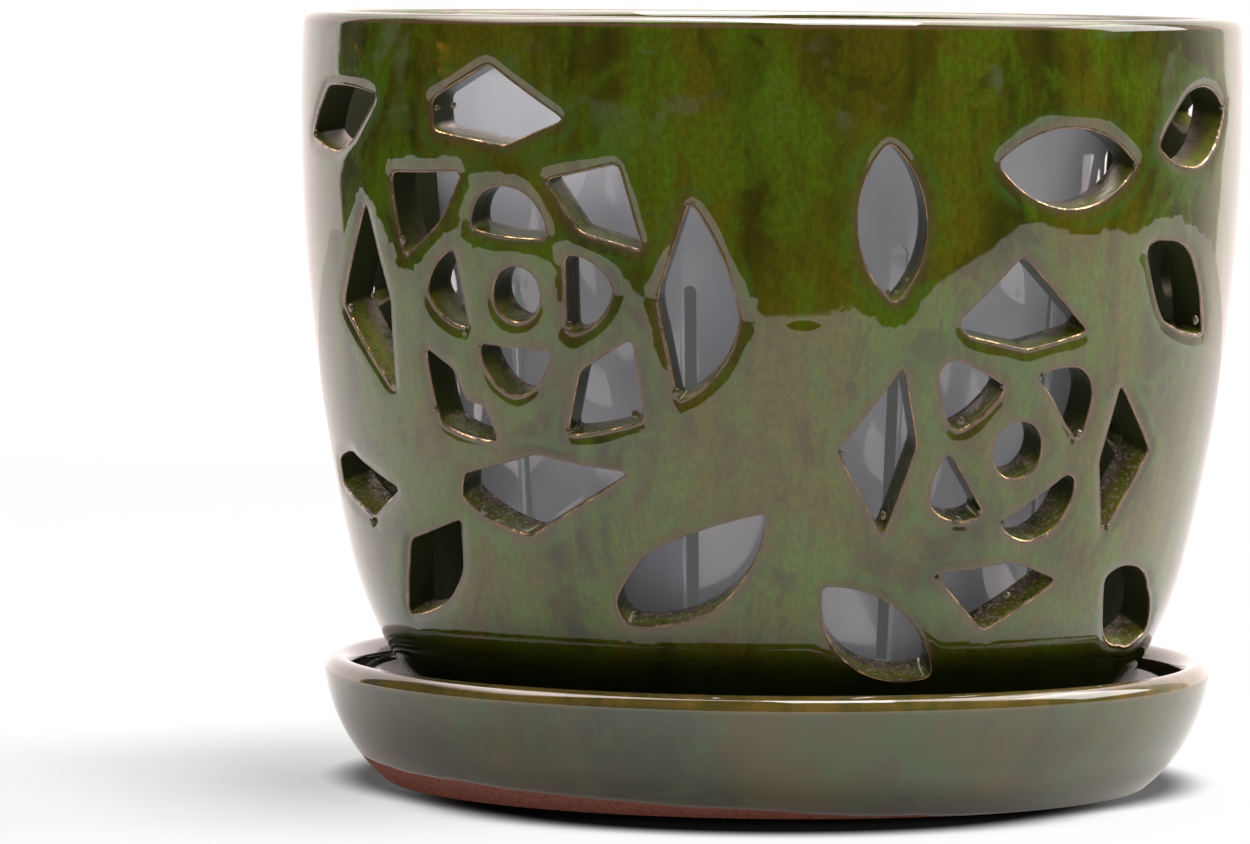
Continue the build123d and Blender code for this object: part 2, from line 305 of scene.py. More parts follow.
@dataclass
class CutOut:
    """One opening in the wall.

    The outline is in azimuth times the belly's radius, and length along the section; shrink is
    the true length across of one unit of the first at this height.
    """

    outline: np.ndarray
    knife: np.ndarray
    shrink: float
    belly_radius: float
    lip: np.ndarray = field(default_factory=lambda: np.zeros(0))
    ring: np.ndarray = field(default_factory=lambda: np.zeros((0, 2)))

    @property
    def scale(self) -> np.ndarray:
        """True length of one unit across and one unit along."""
        return np.array([self.shrink, 1.0])

    @property
    def true(self) -> np.ndarray:
        """The outline in true lengths."""
        return self.outline * self.scale

    @property
    def azimuth(self) -> np.ndarray:
        """The azimuth of each of the outline's points."""
        return self.outline[:, 0] / self.belly_radius


class CutReader:
    """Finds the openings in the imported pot, so that the dressed wall follows them."""

    weld = 0.001 * MM
    face_reach = 0.02 * MM
    least_facing = 0.7

    def __init__(self, wall: WallSection, node: bpy.types.Object) -> None:
        """Keeps a merged copy of the pot's mesh.

        Args:
            wall: The section of the pot's wall.
            node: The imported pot.
        """
        self.wall = wall
        self.mesh = bmesh.new()
        self.mesh.from_mesh(node.data)
        bmesh.ops.remove_doubles(self.mesh, verts=self.mesh.verts, dist=self.weld)
        self.mesh.verts.index_update()
        self.mesh.faces.index_update()
        self.mesh.faces.ensure_lookup_table()
        points = np.array([v.co for v in self.mesh.verts], float)
        self.points = points
        self.on_outside = np.abs(wall.off_face(points, 0.0)) < self.face_reach
        self.on_inside = np.abs(wall.off_face(points, wall.thickness)) < self.face_reach

    def lies_on(self, face: bmesh.types.BMFace, marks: np.ndarray) -> bool:
        """Tells whether a face is part of one face of the wall.

        Args:
            face: The face.
            marks: For each point of the mesh, whether it lies on that face of the wall.

        Returns:
            Whether all its corners are marked and it looks across the wall.
        """
        if not all(marks[v.index] for v in face.verts):
            return False
        middle = face.calc_center_median()
        level = math.hypot(middle.x, middle.y)
        toward = (face.normal.x * middle.x + face.normal.y * middle.y) / max(level, MM)
        return abs(toward) > self.least_facing

    def read(self, low_z: float, high_z: float, spacing: float, passes: int) -> list[CutOut]:
        """Reads every opening whose edge lies between two heights.

        Args:
            low_z: The lowest height.
            high_z: The highest height.
            spacing: Distance between the points of an outline.
            passes: How much the corners are rounded.

        Returns:
            The openings, in the order of their azimuth.
        """
        outer = [self.lies_on(face, self.on_outside) for face in self.mesh.faces]
        inner = [self.lies_on(face, self.on_inside) for face in self.mesh.faces]
        following: dict[int, list[tuple[int, int]]] = {}
        for edge in self.mesh.edges:
            sides = [face for face in edge.link_faces if outer[face.index]]
            if len(sides) != 1 or len(edge.link_faces) != 2:
                continue
            if not all(low_z < v.co.z < high_z for v in edge.verts):
                continue
            cut = next(face for face in edge.link_faces if not outer[face.index])
            a, b = (v.index for v in edge.verts)
            following.setdefault(a, []).append((b, cut.index))
            following.setdefault(b, []).append((a, cut.index))
        cuts = []
        seen: set[int] = set()
        for start in following:
            if start in seen:
                continue
            loop, cut_face = self.walk(start, following)
            seen.update(loop)
            flat, shrink = self.flatten(loop, spacing, passes)
            knife = self.knife_of(cut_face, outer, inner)
            cuts.append(CutOut(flat, knife, shrink, self.wall.belly_radius))
        return sorted(cuts, key=lambda cut: float(np.mean(cut.outline[:, 0])))

    def walk(
        self, start: int, following: dict[int, list[tuple[int, int]]]
    ) -> tuple[list[int], int]:
        """Follows an edge round to its start.

        Args:
            start: The first point.
            following: For each point, its two neighbours and the cut face beside each way.

        Returns:
            The edge's points and one cut face beside it.
        """
        loop = [start]
        previous, current = start, following[start][0][0]
        while current != start:
            loop.append(current)
            ways = [way for way, _ in following[current] if way != previous]
            previous, current = current, ways[0]
        return loop, following[start][0][1]

    def knife_of(self, first: int, outer: list[bool], inner: list[bool]) -> np.ndarray:
        """Finds the way the knife pointed: no face of the cut looks along it.

        Args:
            first: One face of the cut.
            outer: For each face, whether it lies on the outside of the wall.
            inner: The same for the inside.

        Returns:
            The unit direction into the pot.
        """
        found = {first}
        waiting = [self.mesh.faces[first]]
        while waiting:
            face = waiting.pop()
            for edge in face.edges:
                for side in edge.link_faces:
                    if side.index in found or outer[side.index] or inner[side.index]:
                        continue
                    found.add(side.index)
                    waiting.append(side)
        faces = [self.mesh.faces[index] for index in found]
        looks = np.array([face.normal * math.sqrt(face.calc_area()) for face in faces])
        knife = np.linalg.svd(looks)[2][-1]
        middle = np.mean([face.calc_center_median() for face in faces], axis=0)
        inward = -np.array([middle[0], middle[1], 0.0])
        return knife if knife @ inward > 0 else -knife

    def flatten(self, loop: list[int], spacing: float, passes: int) -> tuple[np.ndarray, float]:
        """Flattens one edge and softens it.

        Args:
            loop: The edge's points, in order.
            spacing: Distance between the points of the outline.
            passes: How much its corners are rounded.

        Returns:
            The outline, and the true length across of one of its units.
        """
        points = self.points[loop]
        azimuth = np.unwrap(np.arctan2(points[:, 0], -points[:, 1]))
        rise = self.wall.rise_of(self.wall.lean_at(points[:, 2]))
        radius = float(np.mean(np.hypot(points[:, 0], points[:, 1])))
        shrink = radius / self.wall.belly_radius
        flat = np.stack([azimuth * radius, rise], axis=1)
        if signed_area(flat) < 0:
            flat = flat[::-1]
        flat = resample(soften(resample(flat, spacing / 2), passes), spacing)
        return flat / [shrink, 1.0], shrink


# The pierced wall


def round_off(start: np.ndarray, corner: np.ndarray, end: np.ndarray, share: float) -> np.ndarray:
    """Points on the curves that round off corners.

    Args:
        start: Where each curve starts.
        corner: The corner that it rounds off.
        end: Where it ends.
        share: How far along the curves the points lie, from 0 to 1.

    Returns:
        The points.
    """
    return (1 - share) ** 2 * start + 2 * share * (1 - share) * corner + share**2 * end


@dataclass
class Growing:
    """A mesh that is being put together from rows of points and faces."""

    points: list[np.ndarray] = field(default_factory=list)
    edge_gap: list[np.ndarray] = field(default_factory=list)
    cut_floor: list[np.ndarray] = field(default_factory=list)
    faces: list[tuple[int, ...]] = field(default_factory=list)
    count: int = 0

    def add(self, points: np.ndarray, edge_gap: Any, cut_floor: Any = 0.0) -> np.ndarray:
        """Adds points.

        Args:
            points: One row for each point.
            edge_gap: How far each lies outside the nearest cut edge, negative in the cut.
            cut_floor: How much the cut face there looks up, 1 at the bottom of an opening.

        Returns:
            The new points' numbers.
        """
        self.points.append(points)
        self.edge_gap.append(np.broadcast_to(np.asarray(edge_gap, float), (len(points),)))
        self.cut_floor.append(np.broadcast_to(np.asarray(cut_floor, float), (len(points),)))
        numbers = np.arange(self.count, self.count + len(points))
        self.count += len(points)
        return numbers

    def strip(self, upper: np.ndarray, lower: np.ndarray) -> None:
        """Joins two closed rows of as many points.

        Args:
            upper: The row nearer to the outside.
            lower: The next one.
        """
        for k, (a, b) in enumerate(zip(upper, lower)):
            after = (k + 1) % len(upper)
            self.faces.append((int(a), int(upper[after]), int(lower[after]), int(b)))

    def finished(self, name: str) -> bpy.types.Object:
        """Makes the object, with edge_gap and cut_floor as attributes of its points.

        Args:
            name: The object's name.

        Returns:
            The object.
        """
        mesh = bpy.data.meshes.new(name)
        points = np.concatenate(self.points)
        mesh.from_pydata(points.tolist(), [], self.faces)
        for key, rows in (("edge_gap", self.edge_gap), ("cut_floor", self.cut_floor)):
            kept = mesh.attributes.new(key, "FLOAT", "POINT")
            kept.data.foreach_set("value", np.concatenate(rows).astype(np.float32))
        mesh.update()
        made = bpy.data.objects.new(name, mesh)
        bpy.context.scene.collection.objects.link(made)
        return made


class NearEdges:
    """Measures how far points of the wall lie from the edges of the cut-outs."""

    spacing = 0.3 * MM
    far_off = 1.0

    def __init__(self, wall: WallSection, cuts: Sequence[CutOut], depth: float = 0.0) -> None:
        """Spreads fine points along every edge.

        Args:
            wall: The section of the pot's wall.
            cuts: The openings.
            depth: How deep inside the outer face the edges lie.
        """
        rows = []
        for number, cut in enumerate(cuts):
            flat = resample(cut.true, self.spacing) / cut.scale
            azimuth = flat[:, 0] / wall.belly_radius
            places = wall.place(azimuth, wall.lean_of(flat[:, 1], depth), depth)
            rows += [(place, number) for place in places]
        self.tree = KDTree(len(rows))
        self.owner = [number for _, number in rows]
        for k, (place, _) in enumerate(rows):
            self.tree.insert(place, k)
        self.tree.balance()

    def nearest(self, point: np.ndarray, but: int = -1) -> float:
        """Measures from a point to the nearest edge.

        Args:
            point: The point.
            but: The number of an opening to leave out, or -1.

        Returns:
            The distance.
        """
        if but < 0:
            return self.tree.find(point)[2]
        found = self.tree.find(point, filter=lambda k: self.owner[k] != but)
        return found[2] if found[2] is not None else self.far_off

    def each(self, point: np.ndarray, reach: float) -> dict[int, float]:
        """Measures from a point to every edge within reach.

        Args:
            point: The point.
            reach: How far to look.

        Returns:
            The distance to each opening's edge, by its number.
        """
        near: dict[int, float] = {}
        for _, k, gap in self.tree.find_range(point, reach):
            owner = self.owner[k]
            near[owner] = min(gap, near.get(owner, reach))
        return near


@dataclass
class PiercedWall:
    """The wall between rim and foot, with softened lips round its openings.

    Each of outer_rows and inner_rows is a row of points round every opening, as its offset from
    the edge and its spacing.
    """

    wall: WallSection
    cuts: list[CutOut]
    low_z: float
    high_z: float
    inner_low_z: float
    columns: int = 224
    lip: float = 0.6 * MM
    lip_depth: float = 1.1
    lip_growth: float = 0.3
    lip_passes: int = 3
    lip_shares: tuple[float, ...] = (0.25, 0.5, 0.75, 1.0)
    cut_deepening: float = 4.0
    furthest_through: float = 2.5
    inner_lip: float = 0.5 * MM
    inner_lip_share: float = 0.6
    inner_shares: tuple[float, ...] = (0.5, 1.0)
    gap_share: float = 0.36
    bend_share: float = 0.6
    shoulder: float = 2.2 * MM
    shoulder_wander: float = 0.55 * MM
    shoulder_ease: float = 0.22 * MM
    slope: float = 0.21
    slope_wander: float = 0.06
    wander_scale: float = 130.0
    slope_scale: float = 70.0
    slope_shift: Place = (7.0, 0.0, 0.0)
    mesh_step: float = 2.5 * MM
    row_clearance: float = 0.93
    least_apart: float = 0.62
    grid_clearance: float = 3.3 * MM
    weld: float = 1e-5
    inner_lip_gap: float = -6 * MM
    halvings: int = 40
    outer_rows: tuple[tuple[float, float], ...] = (
        (1.1 * MM, 0.95 * MM),
        (1.6 * MM, 0.95 * MM),
        (2.05 * MM, 1.0 * MM),
        (2.5 * MM, 1.1 * MM),
        (3.1 * MM, 1.5 * MM),
    )
    inner_rows: tuple[tuple[float, float], ...] = ((1.5 * MM, 1.2 * MM), (2.8 * MM, 1.7 * MM))
    seam: float = 0.0

    def span(self) -> tuple[float, float]:
        """Where the flattened wall starts, at the seam, and its length all the way round."""
        return self.seam * self.wall.belly_radius, FULL_TURN * self.wall.belly_radius

    def find_seam(self) -> None:
        """Puts the seam at the middle of the widest stretch of azimuth without an opening."""
        spans = sorted((float(cut.azimuth.min()), float(cut.azimuth.max())) for cut in self.cuts)
        spans.append((spans[0][0] + FULL_TURN, 0.0))
        widest, reach = 0.0, spans[0][1]
        for low, high in spans[1:]:
            if low - reach > widest:
                widest = low - reach
                self.seam = (low + reach) / 2
            reach = max(reach, high)
        log.info("seam at %.1f degrees in %.1f free", math.degrees(self.seam), math.degrees(widest))

    def turn_past_seam(self) -> None:
        """Writes every opening with an azimuth in the full turn that starts at the seam."""
        start, turn = self.span()
        for cut in self.cuts:
            middle = float(np.mean(cut.outline[:, 0]))
            cut.outline = cut.outline + [turn * math.ceil((start - middle) / turn), 0.0]

    def set_lips(self, near: NearEdges) -> None:
        """Gives each opening the width of its lip, narrower where another one is close.

        Args:
            near: Measures the distance to the edges.
        """
        for number, cut in enumerate(self.cuts):
            places = self.wall.place(cut.azimuth, self.wall.lean_of(cut.outline[:, 1]))
            gaps = np.array([near.nearest(place, number) for place in places])
            true = cut.true
            before, after = np.roll(true, 1, 0), np.roll(true, -1, 0)
            run = np.linalg.norm(after - before, axis=1)
            turn = np.cross(true - before, after - true) / (run / 2) ** 2
            bend = -turn / (run / 2)
            hollow = np.where(bend > 0, self.bend_share / np.maximum(bend, 1.0), 1.0)
            lip = np.minimum(np.minimum(self.lip, self.gap_share * gaps), hollow)
            for _ in range(self.lip_passes):
                beside = np.minimum(np.roll(lip, 1), np.roll(lip, -1))
                lip = np.minimum(lip, beside + self.lip_growth * self.lip)
            cut.lip = lip
            cut.ring = (true + outward_of(true) * lip[:, None]) / cut.scale

    def sag_at(self, near: NearEdges, point: np.ndarray) -> float:
        """How far the glazed face sinks towards the openings near a point.

        The face slopes down evenly from a shoulder to the opening, and the shoulder's width and
        the slope wander along the edge as hand-wiped glaze does.

        Args:
            near: Measures the distance to the edges.
            point: The point.

        Returns:
            The depth of the glazed face inside the wall's outer one.
        """
        wander = noise.noise(Vector(point) * self.wander_scale)
        steeper = noise.noise(Vector(point) * self.slope_scale + Vector(self.slope_shift))
        width = self.shoulder + self.shoulder_wander * wander
        slope = self.slope + self.slope_wander * steeper
        ease = self.shoulder_ease
        total = 0.0
        for gap in near.each(point, width + ease).values():
            if gap < width - ease:
                total += slope * (width - gap)
            else:
                total += slope * (width + ease - gap) ** 2 / (4 * ease)
        return total

    def loose_points(
        self, near: NearEdges, rings: Sequence[np.ndarray], depth: float, low: float, high: float
    ) -> np.ndarray:
        """Spreads points over the sheet between the openings, closer together beside them.

        Args:
            near: Measures the distance to the edges.
            rings: The rings round the openings, which the points stay clear of.
            depth: How deep inside the outer face the sheet lies.
            low: The lower end of the sheet, along the section.
            high: Its upper end.

        Returns:
            The points, flat.
        """
        cell = self.mesh_step
        taken: dict[tuple[int, int], list[tuple[float, float]]] = {}
        kept: list[tuple[float, float]] = []

        def clear(place: tuple[float, float], apart: float) -> bool:
            """Looks round a place.

            Args:
                place: The place.
                apart: The least distance.

            Returns:
                Whether no point that is taken lies closer than that.
            """
            column, row = math.floor(place[0] / cell), math.floor(place[1] / cell)
            for a in (column - 1, column, column + 1):
                for b in (row - 1, row, row + 1):
                    for other in taken.get((a, b), ()):
                        if math.dist(place, other) < apart:
                            return False
            return True

        def take(place: tuple[float, float]) -> None:
            """Marks a place as taken."""
            key = (math.floor(place[0] / cell), math.floor(place[1] / cell))
            taken.setdefault(key, []).append(place)

        def space(place: tuple[float, float]) -> np.ndarray:
            """The point in space at a flat place."""
            lean = self.wall.lean_of(np.array(place[1]), depth)
            return self.wall.place(np.array(place[0] / self.wall.belly_radius), lean, depth)

        for ring in rings:
            for place in ring:
                take((float(place[0]), float(place[1])))
        for offset, spacing in self.outer_rows if depth == 0 else self.inner_rows:
            for cut in self.cuts:
                true = resample(cut.true, spacing)
                for row in (true + outward_of(true) * offset) / cut.scale:
                    place = (float(row[0]), float(row[1]))
                    if near.nearest(space(place)) < self.row_clearance * offset:
                        continue
                    if not clear(place, self.least_apart * spacing):
                        continue
                    if low + spacing < place[1] < high - spacing:
                        take(place)
                        kept.append(place)
        start, turn = self.span()
        step = turn / self.columns
        row_step = step * math.sqrt(3) / 2
        rows = math.floor((high - low) / row_step)
        for row in range(1, rows + 1):
            level = low + (high - low) * row / (rows + 1)
            for column in range(self.columns):
                place = (start + (column + 0.5 * (row % 2) + 0.25) * step, level)
                beside = near.nearest(space(place))
                if beside > self.grid_clearance and clear(place, self.least_apart * step):
                    take(place)
                    kept.append(place)
        inside = [any(holds(ring, np.array(p)) for ring in self.rings_near(rings, p)) for p in kept]
        return np.array([p for p, hidden in zip(kept, inside) if not hidden])

    @staticmethod
    def rings_near(rings: Sequence[np.ndarray], place: tuple[float, float]) -> list[np.ndarray]:
        """Picks the rings that may go round a place.

        Args:
            rings: The flat rings.
            place: The flat place.

        Returns:
            The rings whose box holds it.
        """
        return [
            ring
            for ring in rings
            if ring[:, 0].min() <= place[0] <= ring[:, 0].max()
            and ring[:, 1].min() <= place[1] <= ring[:, 1].max()
        ]

    def sheet(
        self,
        growing: Growing,
        near: NearEdges,
        rings: Sequence[np.ndarray],
        ring_numbers: Sequence[np.ndarray],
        depth: float,
        low_z: float,
    ) -> None:
        """Fills one face of the wall with triangles, up to the rings round its openings.

        Args:
            growing: The mesh that the face is added to.
            near: Measures the distance to the edges.
            rings: The flat ring round each opening.
            ring_numbers: The rings' points in the mesh.
            depth: How deep inside the outer face this face lies.
            low_z: The height of the face's lower end.
        """
        low = float(self.wall.rise_of(self.wall.lean_at(np.array(low_z), depth), depth))
        high = float(self.wall.rise_of(self.wall.lean_at(np.array(self.high_z), depth), depth))
        start, turn = self.span()
        across = start + np.linspace(0, turn, self.columns + 1)
        side_rows = round((high - low) / self.mesh_step)
        up = np.linspace(low, high, side_rows + 1)
        border = np.concatenate(
            [
                np.stack([across, np.full_like(across, low)], 1),
                np.stack([np.full_like(up, across[-1]), up], 1)[1:],
                np.stack([across[::-1], np.full_like(across, high)], 1)[1:],
                np.stack([np.full_like(up, across[0]), up[::-1]], 1)[1:-1],
            ]
        )
        loose = self.loose_points(near, rings, depth, low, high)
        free = np.concatenate([border, loose])
        azimuth = free[:, 0] / self.wall.belly_radius
        lean = self.wall.lean_of(free[:, 1], depth)
        level = self.wall.place(azimuth, lean, depth)
        if depth == 0:
            gaps = np.array([near.nearest(place) for place in level])
            sags = np.array([self.sag_at(near, place) for place in level])
            places = self.wall.place(azimuth, lean, sags)
        else:
            gaps = np.full(len(level), INSIDE_GAP)
            places = level
        free_numbers = growing.add(places, gaps)
        flat = np.concatenate([free, *rings])
        numbers = np.concatenate([free_numbers, *ring_numbers])
        edges = []
        first = 0
        for count in (len(border), *(len(ring) for ring in rings)):
            edges += [(first + k, first + (k + 1) % count) for k in range(count)]
            first += count if first else len(free)
        vectors = [Vector(row) for row in flat / MM]
        made = delaunay_2d_cdt(vectors, edges, [], 0, self.weld, True)
        whose = [ids[0] if ids else -1 for ids in made[3]]
        if -1 in whose:
            log.warning("%d crossings in the sheet %.1f mm deep", whose.count(-1), depth / MM)
        ring_of = np.concatenate(
            [np.full(len(free), -1), *(np.full(len(ring), k) for k, ring in enumerate(rings))]
        )
        for face in made[2]:
            corners = [whose[k] for k in face]
            if -1 in corners:
                continue
            owners = {int(ring_of[k]) for k in corners}
            if len(owners) == 1 and -1 not in owners:
                middle = np.mean([flat[k] for k in corners], axis=0)
                if holds(rings[owners.pop()], middle):
                    continue
            named = [int(numbers[k]) for k in corners]
            growing.faces.append(tuple(named if depth == 0 else named[::-1]))

    def edge_rings(
        self, growing: Growing, near: NearEdges
    ) -> tuple[list[np.ndarray], list[np.ndarray], list[np.ndarray], list[np.ndarray]]:
        """Rounds every lip and lines every cut.

        Args:
            growing: The mesh that the lips are added to.
            near: Measures the distance to the edges.

        Returns:
            The flat outer rings, their points, the flat inner rings and their points.
        """
        outer_rings, outer_numbers, inner_rings, inner_numbers = [], [], [], []
        wall = self.wall
        for cut in self.cuts:
            azimuth = cut.azimuth
            lean = wall.lean_of(cut.outline[:, 1])
            edge = wall.place(azimuth, lean)
            steep = -(wall.outward(azimuth, lean) @ cut.knife)
            ring_azimuth = cut.ring[:, 0] / wall.belly_radius
            ring_lean = wall.lean_of(cut.ring[:, 1])
            level = wall.place(ring_azimuth, ring_lean)
            sags = np.array([self.sag_at(near, place) for place in level])
            ring = wall.place(ring_azimuth, ring_lean, sags)
            corner = edge + cut.knife * (sags / steep)[:, None]
            lip_end = edge + cut.knife * ((sags + self.lip_depth * cut.lip) / steep)[:, None]
            through = self.reach_inside(edge, cut.knife)
            inside = edge + cut.knife * through[:, None]
            inner_azimuth = np.unwrap(np.arctan2(inside[:, 0], -inside[:, 1]))
            turns = round((azimuth.mean() - inner_azimuth.mean()) / FULL_TURN)
            inner_azimuth += FULL_TURN * turns
            inner_rise = wall.rise_of(wall.lean_at(inside[:, 2], wall.thickness), wall.thickness)
            shrink = float(np.mean(np.hypot(inside[:, 0], inside[:, 1]))) / wall.belly_radius
            true = np.stack([inner_azimuth * wall.belly_radius * shrink, inner_rise], 1)
            inner_lip = np.minimum(self.inner_lip, self.inner_lip_share * cut.lip)
            inner_ring = (true + outward_of(true) * inner_lip[:, None]) / [shrink, 1.0]
            inner_places = wall.place(
                inner_ring[:, 0] / wall.belly_radius,
                wall.lean_of(inner_ring[:, 1], wall.thickness),
                wall.thickness,
            )
            inner_start = inside - cut.knife * inner_lip[:, None]
            up = np.clip(-outward_of(cut.true)[:, 1], 0, 1)
            rows = [growing.add(ring, cut.lip, up)]
            for share in self.lip_shares:
                row = round_off(ring, corner, lip_end, share)
                rows.append(growing.add(row, (1 - share) * cut.lip - share * MM, up))
            for share in self.lip_shares:
                row = lip_end + (inner_start - lip_end) * share
                rows.append(growing.add(row, -MM * (1 + self.cut_deepening * share), up))
            for share in self.inner_shares:
                row = round_off(inner_start, inside, inner_places, share)
                rows.append(growing.add(row, self.inner_lip_gap))
            for upper, lower in zip(rows, rows[1:]):
                growing.strip(upper, lower)
            outer_rings.append(cut.ring)
            outer_numbers.append(rows[0])
            inner_rings.append(inner_ring)
            inner_numbers.append(rows[-1])
        return outer_rings, outer_numbers, inner_rings, inner_numbers

    def reach_inside(self, edge: np.ndarray, knife: np.ndarray) -> np.ndarray:
        """Follows the knife from an edge to the wall's inner face.

        Args:
            edge: The points of the edge.
            knife: The unit direction of the knife.

        Returns:
            The way to the inner face from each point.
        """
        low = np.zeros(len(edge))
        high = np.full(len(edge), self.furthest_through * self.wall.thickness)
        for _ in range(self.halvings):
            middle = (low + high) / 2
            beyond = self.wall.off_face(edge + knife * middle[:, None], self.wall.thickness) < 0
            high = np.where(beyond, middle, high)
            low = np.where(beyond, low, middle)
        return (low + high) / 2

    def make(self) -> bpy.types.Object:
        """Builds the wall.

        Returns:
            The wall, open at its upper and lower ends.
        """
        self.find_seam()
        self.turn_past_seam()
        near = NearEdges(self.wall, self.cuts)
        self.set_lips(near)
        growing = Growing()
        outer, outer_numbers, inner, inner_numbers = self.edge_rings(growing, near)
        self.sheet(growing, near, outer, outer_numbers, 0.0, self.low_z)
        inside_cuts = [
            CutOut(ring, cut.knife, cut.shrink, cut.belly_radius)
            for ring, cut in zip(inner, self.cuts)
        ]
        inner_near = NearEdges(self.wall, inside_cuts, self.wall.thickness)
        self.sheet(growing, inner_near, inner, inner_numbers, self.wall.thickness, self.inner_low_z)
        return growing.finished("pierced_wall")


# Turned pieces


def arc(
    start: tuple[float, float], middle: tuple[float, float], end: tuple[float, float], count: int
) -> list[tuple[float, float]]:
    """Points along the arc through three points of a section.

    Args:
        start: The arc's first point, as radius and height.
        middle: A point on the arc.
        end: Its last point.
        count: How many steps the arc takes.

    Returns:
        The points after the first one, up to the last.
    """
    (ax, ay), (bx, by), (cx, cy) = start, middle, end
    spread = 2 * (ax * (by - cy) + bx * (cy - ay) + cx * (ay - by))
    a, b, c = ax**2 + ay**2, bx**2 + by**2, cx**2 + cy**2
    x = (a * (by - cy) + b * (cy - ay) + c * (ay - by)) / spread
    y = (a * (cx - bx) + b * (ax - cx) + c * (bx - ax)) / spread
    radius = math.dist((x, y), start)
    first = math.atan2(ay - y, ax - x)
    through = (math.atan2(by - y, bx - x) - first) % FULL_TURN
    last = (math.atan2(cy - y, cx - x) - first) % FULL_TURN
    if through > last:
        last -= FULL_TURN
    angles = [first + last * k / count for k in range(1, count + 1)]
    return [(x + radius * math.cos(t), y + radius * math.sin(t)) for t in angles]


def rounded(
    corners: Sequence[tuple[float, float, float]], steps: int = 4
) -> list[tuple[float, float]]:
    """Rounds the corners of a section.

    Args:
        corners: The radius and height of each corner and how far it is rounded.
        steps: How many steps each round takes.

    Returns:
        The section's points.
    """
    points = [corners[0][:2]]
    for before, corner, after in zip(corners, corners[1:], corners[2:]):
        size = corner[2]
        here = Vector(corner[:2])
        if size <= 0:
            points.append(corner[:2])
            continue
        back = (Vector(before[:2]) - here).normalized()
        ahead = (Vector(after[:2]) - here).normalized()
        half = back.angle(ahead) / 2
        start = here + back * size / math.tan(half)
        end = here + ahead * size / math.tan(half)
        bisector = (back + ahead).normalized()
        crown = here + bisector * (size / math.sin(half) - size)
        points.append(tuple(start))
        points += arc(tuple(start), tuple(crown), tuple(end), steps)
    points.append(corners[-1][:2])
    return points


class Lathe:
    """Turns sections round the axis with a ring that is extruded and resized, step by step."""

    def __init__(self, columns: int, start: float = 0.0) -> None:
        """Keeps how many columns a turned piece has and the azimuth of the first."""
        self.columns = columns
        self.start = start

    def turn(
        self, name: str, section: Sequence[tuple[float, float]], capped: bool = False
    ) -> bpy.types.Object:
        """Turns a section.

        Args:
            name: The piece's name.
            section: Radius and height of each ring, in order. A last radius of zero closes it.
            capped: Whether the first ring is filled.

        Returns:
            The turned piece, at the origin.
        """
        bpy.ops.object.select_all(action="DESELECT")
        radius, z = section[0]
        bpy.ops.mesh.primitive_circle_add(
            vertices=self.columns,
            radius=radius,
            fill_type="TRIFAN" if capped else "NOTHING",
            location=(0, 0, z),
            rotation=(0, 0, self.start - 1.5 * math.pi),
        )
        made = bpy.context.active_object
        made.name = name
        made.data.name = name
        bpy.ops.object.transform_apply(location=True, rotation=True, scale=True)
        bpy.ops.object.mode_set(mode="EDIT")
        bpy.ops.mesh.select_mode(type="EDGE")
        bpy.ops.mesh.select_all(action="DESELECT")
        if capped:
            bpy.ops.mesh.select_non_manifold()
        else:
            bpy.ops.mesh.select_all(action="SELECT")
        for (r0, z0), (r1, z1) in zip(section, section[1:]):
            bpy.ops.mesh.extrude_region_move(TRANSFORM_OT_translate={"value": (0, 0, z1 - z0)})
            if r1 <= 0:
                bpy.ops.mesh.merge(type="CENTER")
                break
            share = r1 / r0
            bpy.ops.transform.resize(value=(share, share, 1), center_override=(0, 0, z1))
        bpy.ops.object.mode_set(mode="OBJECT")
        return made


def mark_gap(
    obj: bpy.types.Object, gap: float, inner_z: float = -1.0, inner_radius: float = 0.0
) -> None:
    """Gives every point of an object the same distance from a cut edge.

    Args:
        obj: The object.
        gap: The distance.
        inner_z: The height of a ring that belongs to the wall's inner face, if there is one.
        inner_radius: A radius that the ring stays inside.
    """
    values = np.full(len(obj.data.vertices), gap, np.float32)
    for vertex in obj.data.vertices:
        level = abs(vertex.co.z - inner_z) < SAME_HEIGHT
        if level and math.hypot(vertex.co.x, vertex.co.y) < inner_radius:
            values[vertex.index] = INSIDE_GAP
    attribute = obj.data.attributes.new("edge_gap", "FLOAT", "POINT")
    attribute.data.foreach_set("value", values)


def join(parts: Sequence[bpy.types.Object], name: str, weld: float) -> bpy.types.Object:
    """Joins objects into the first one, welds their borders and makes every face look out.

    Args:
        parts: The objects.
        name: The name of the whole.
        weld: Points closer than this become one.

    Returns:
        The whole.
    """
    bpy.ops.object.select_all(action="DESELECT")
    for part in parts:
        part.select_set(True)
    bpy.context.view_layer.objects.active = parts[0]
    bpy.ops.object.join()
    whole = bpy.context.active_object
    whole.name = name
    whole.data.name = name
    bpy.ops.object.mode_set(mode="EDIT")
    bpy.ops.mesh.select_all(action="SELECT")
    bpy.ops.mesh.remove_doubles(threshold=weld)
    bpy.ops.mesh.normals_make_consistent(inside=False)
    bpy.ops.object.mode_set(mode="OBJECT")
    bpy.ops.object.shade_smooth()
    return whole


# Materials


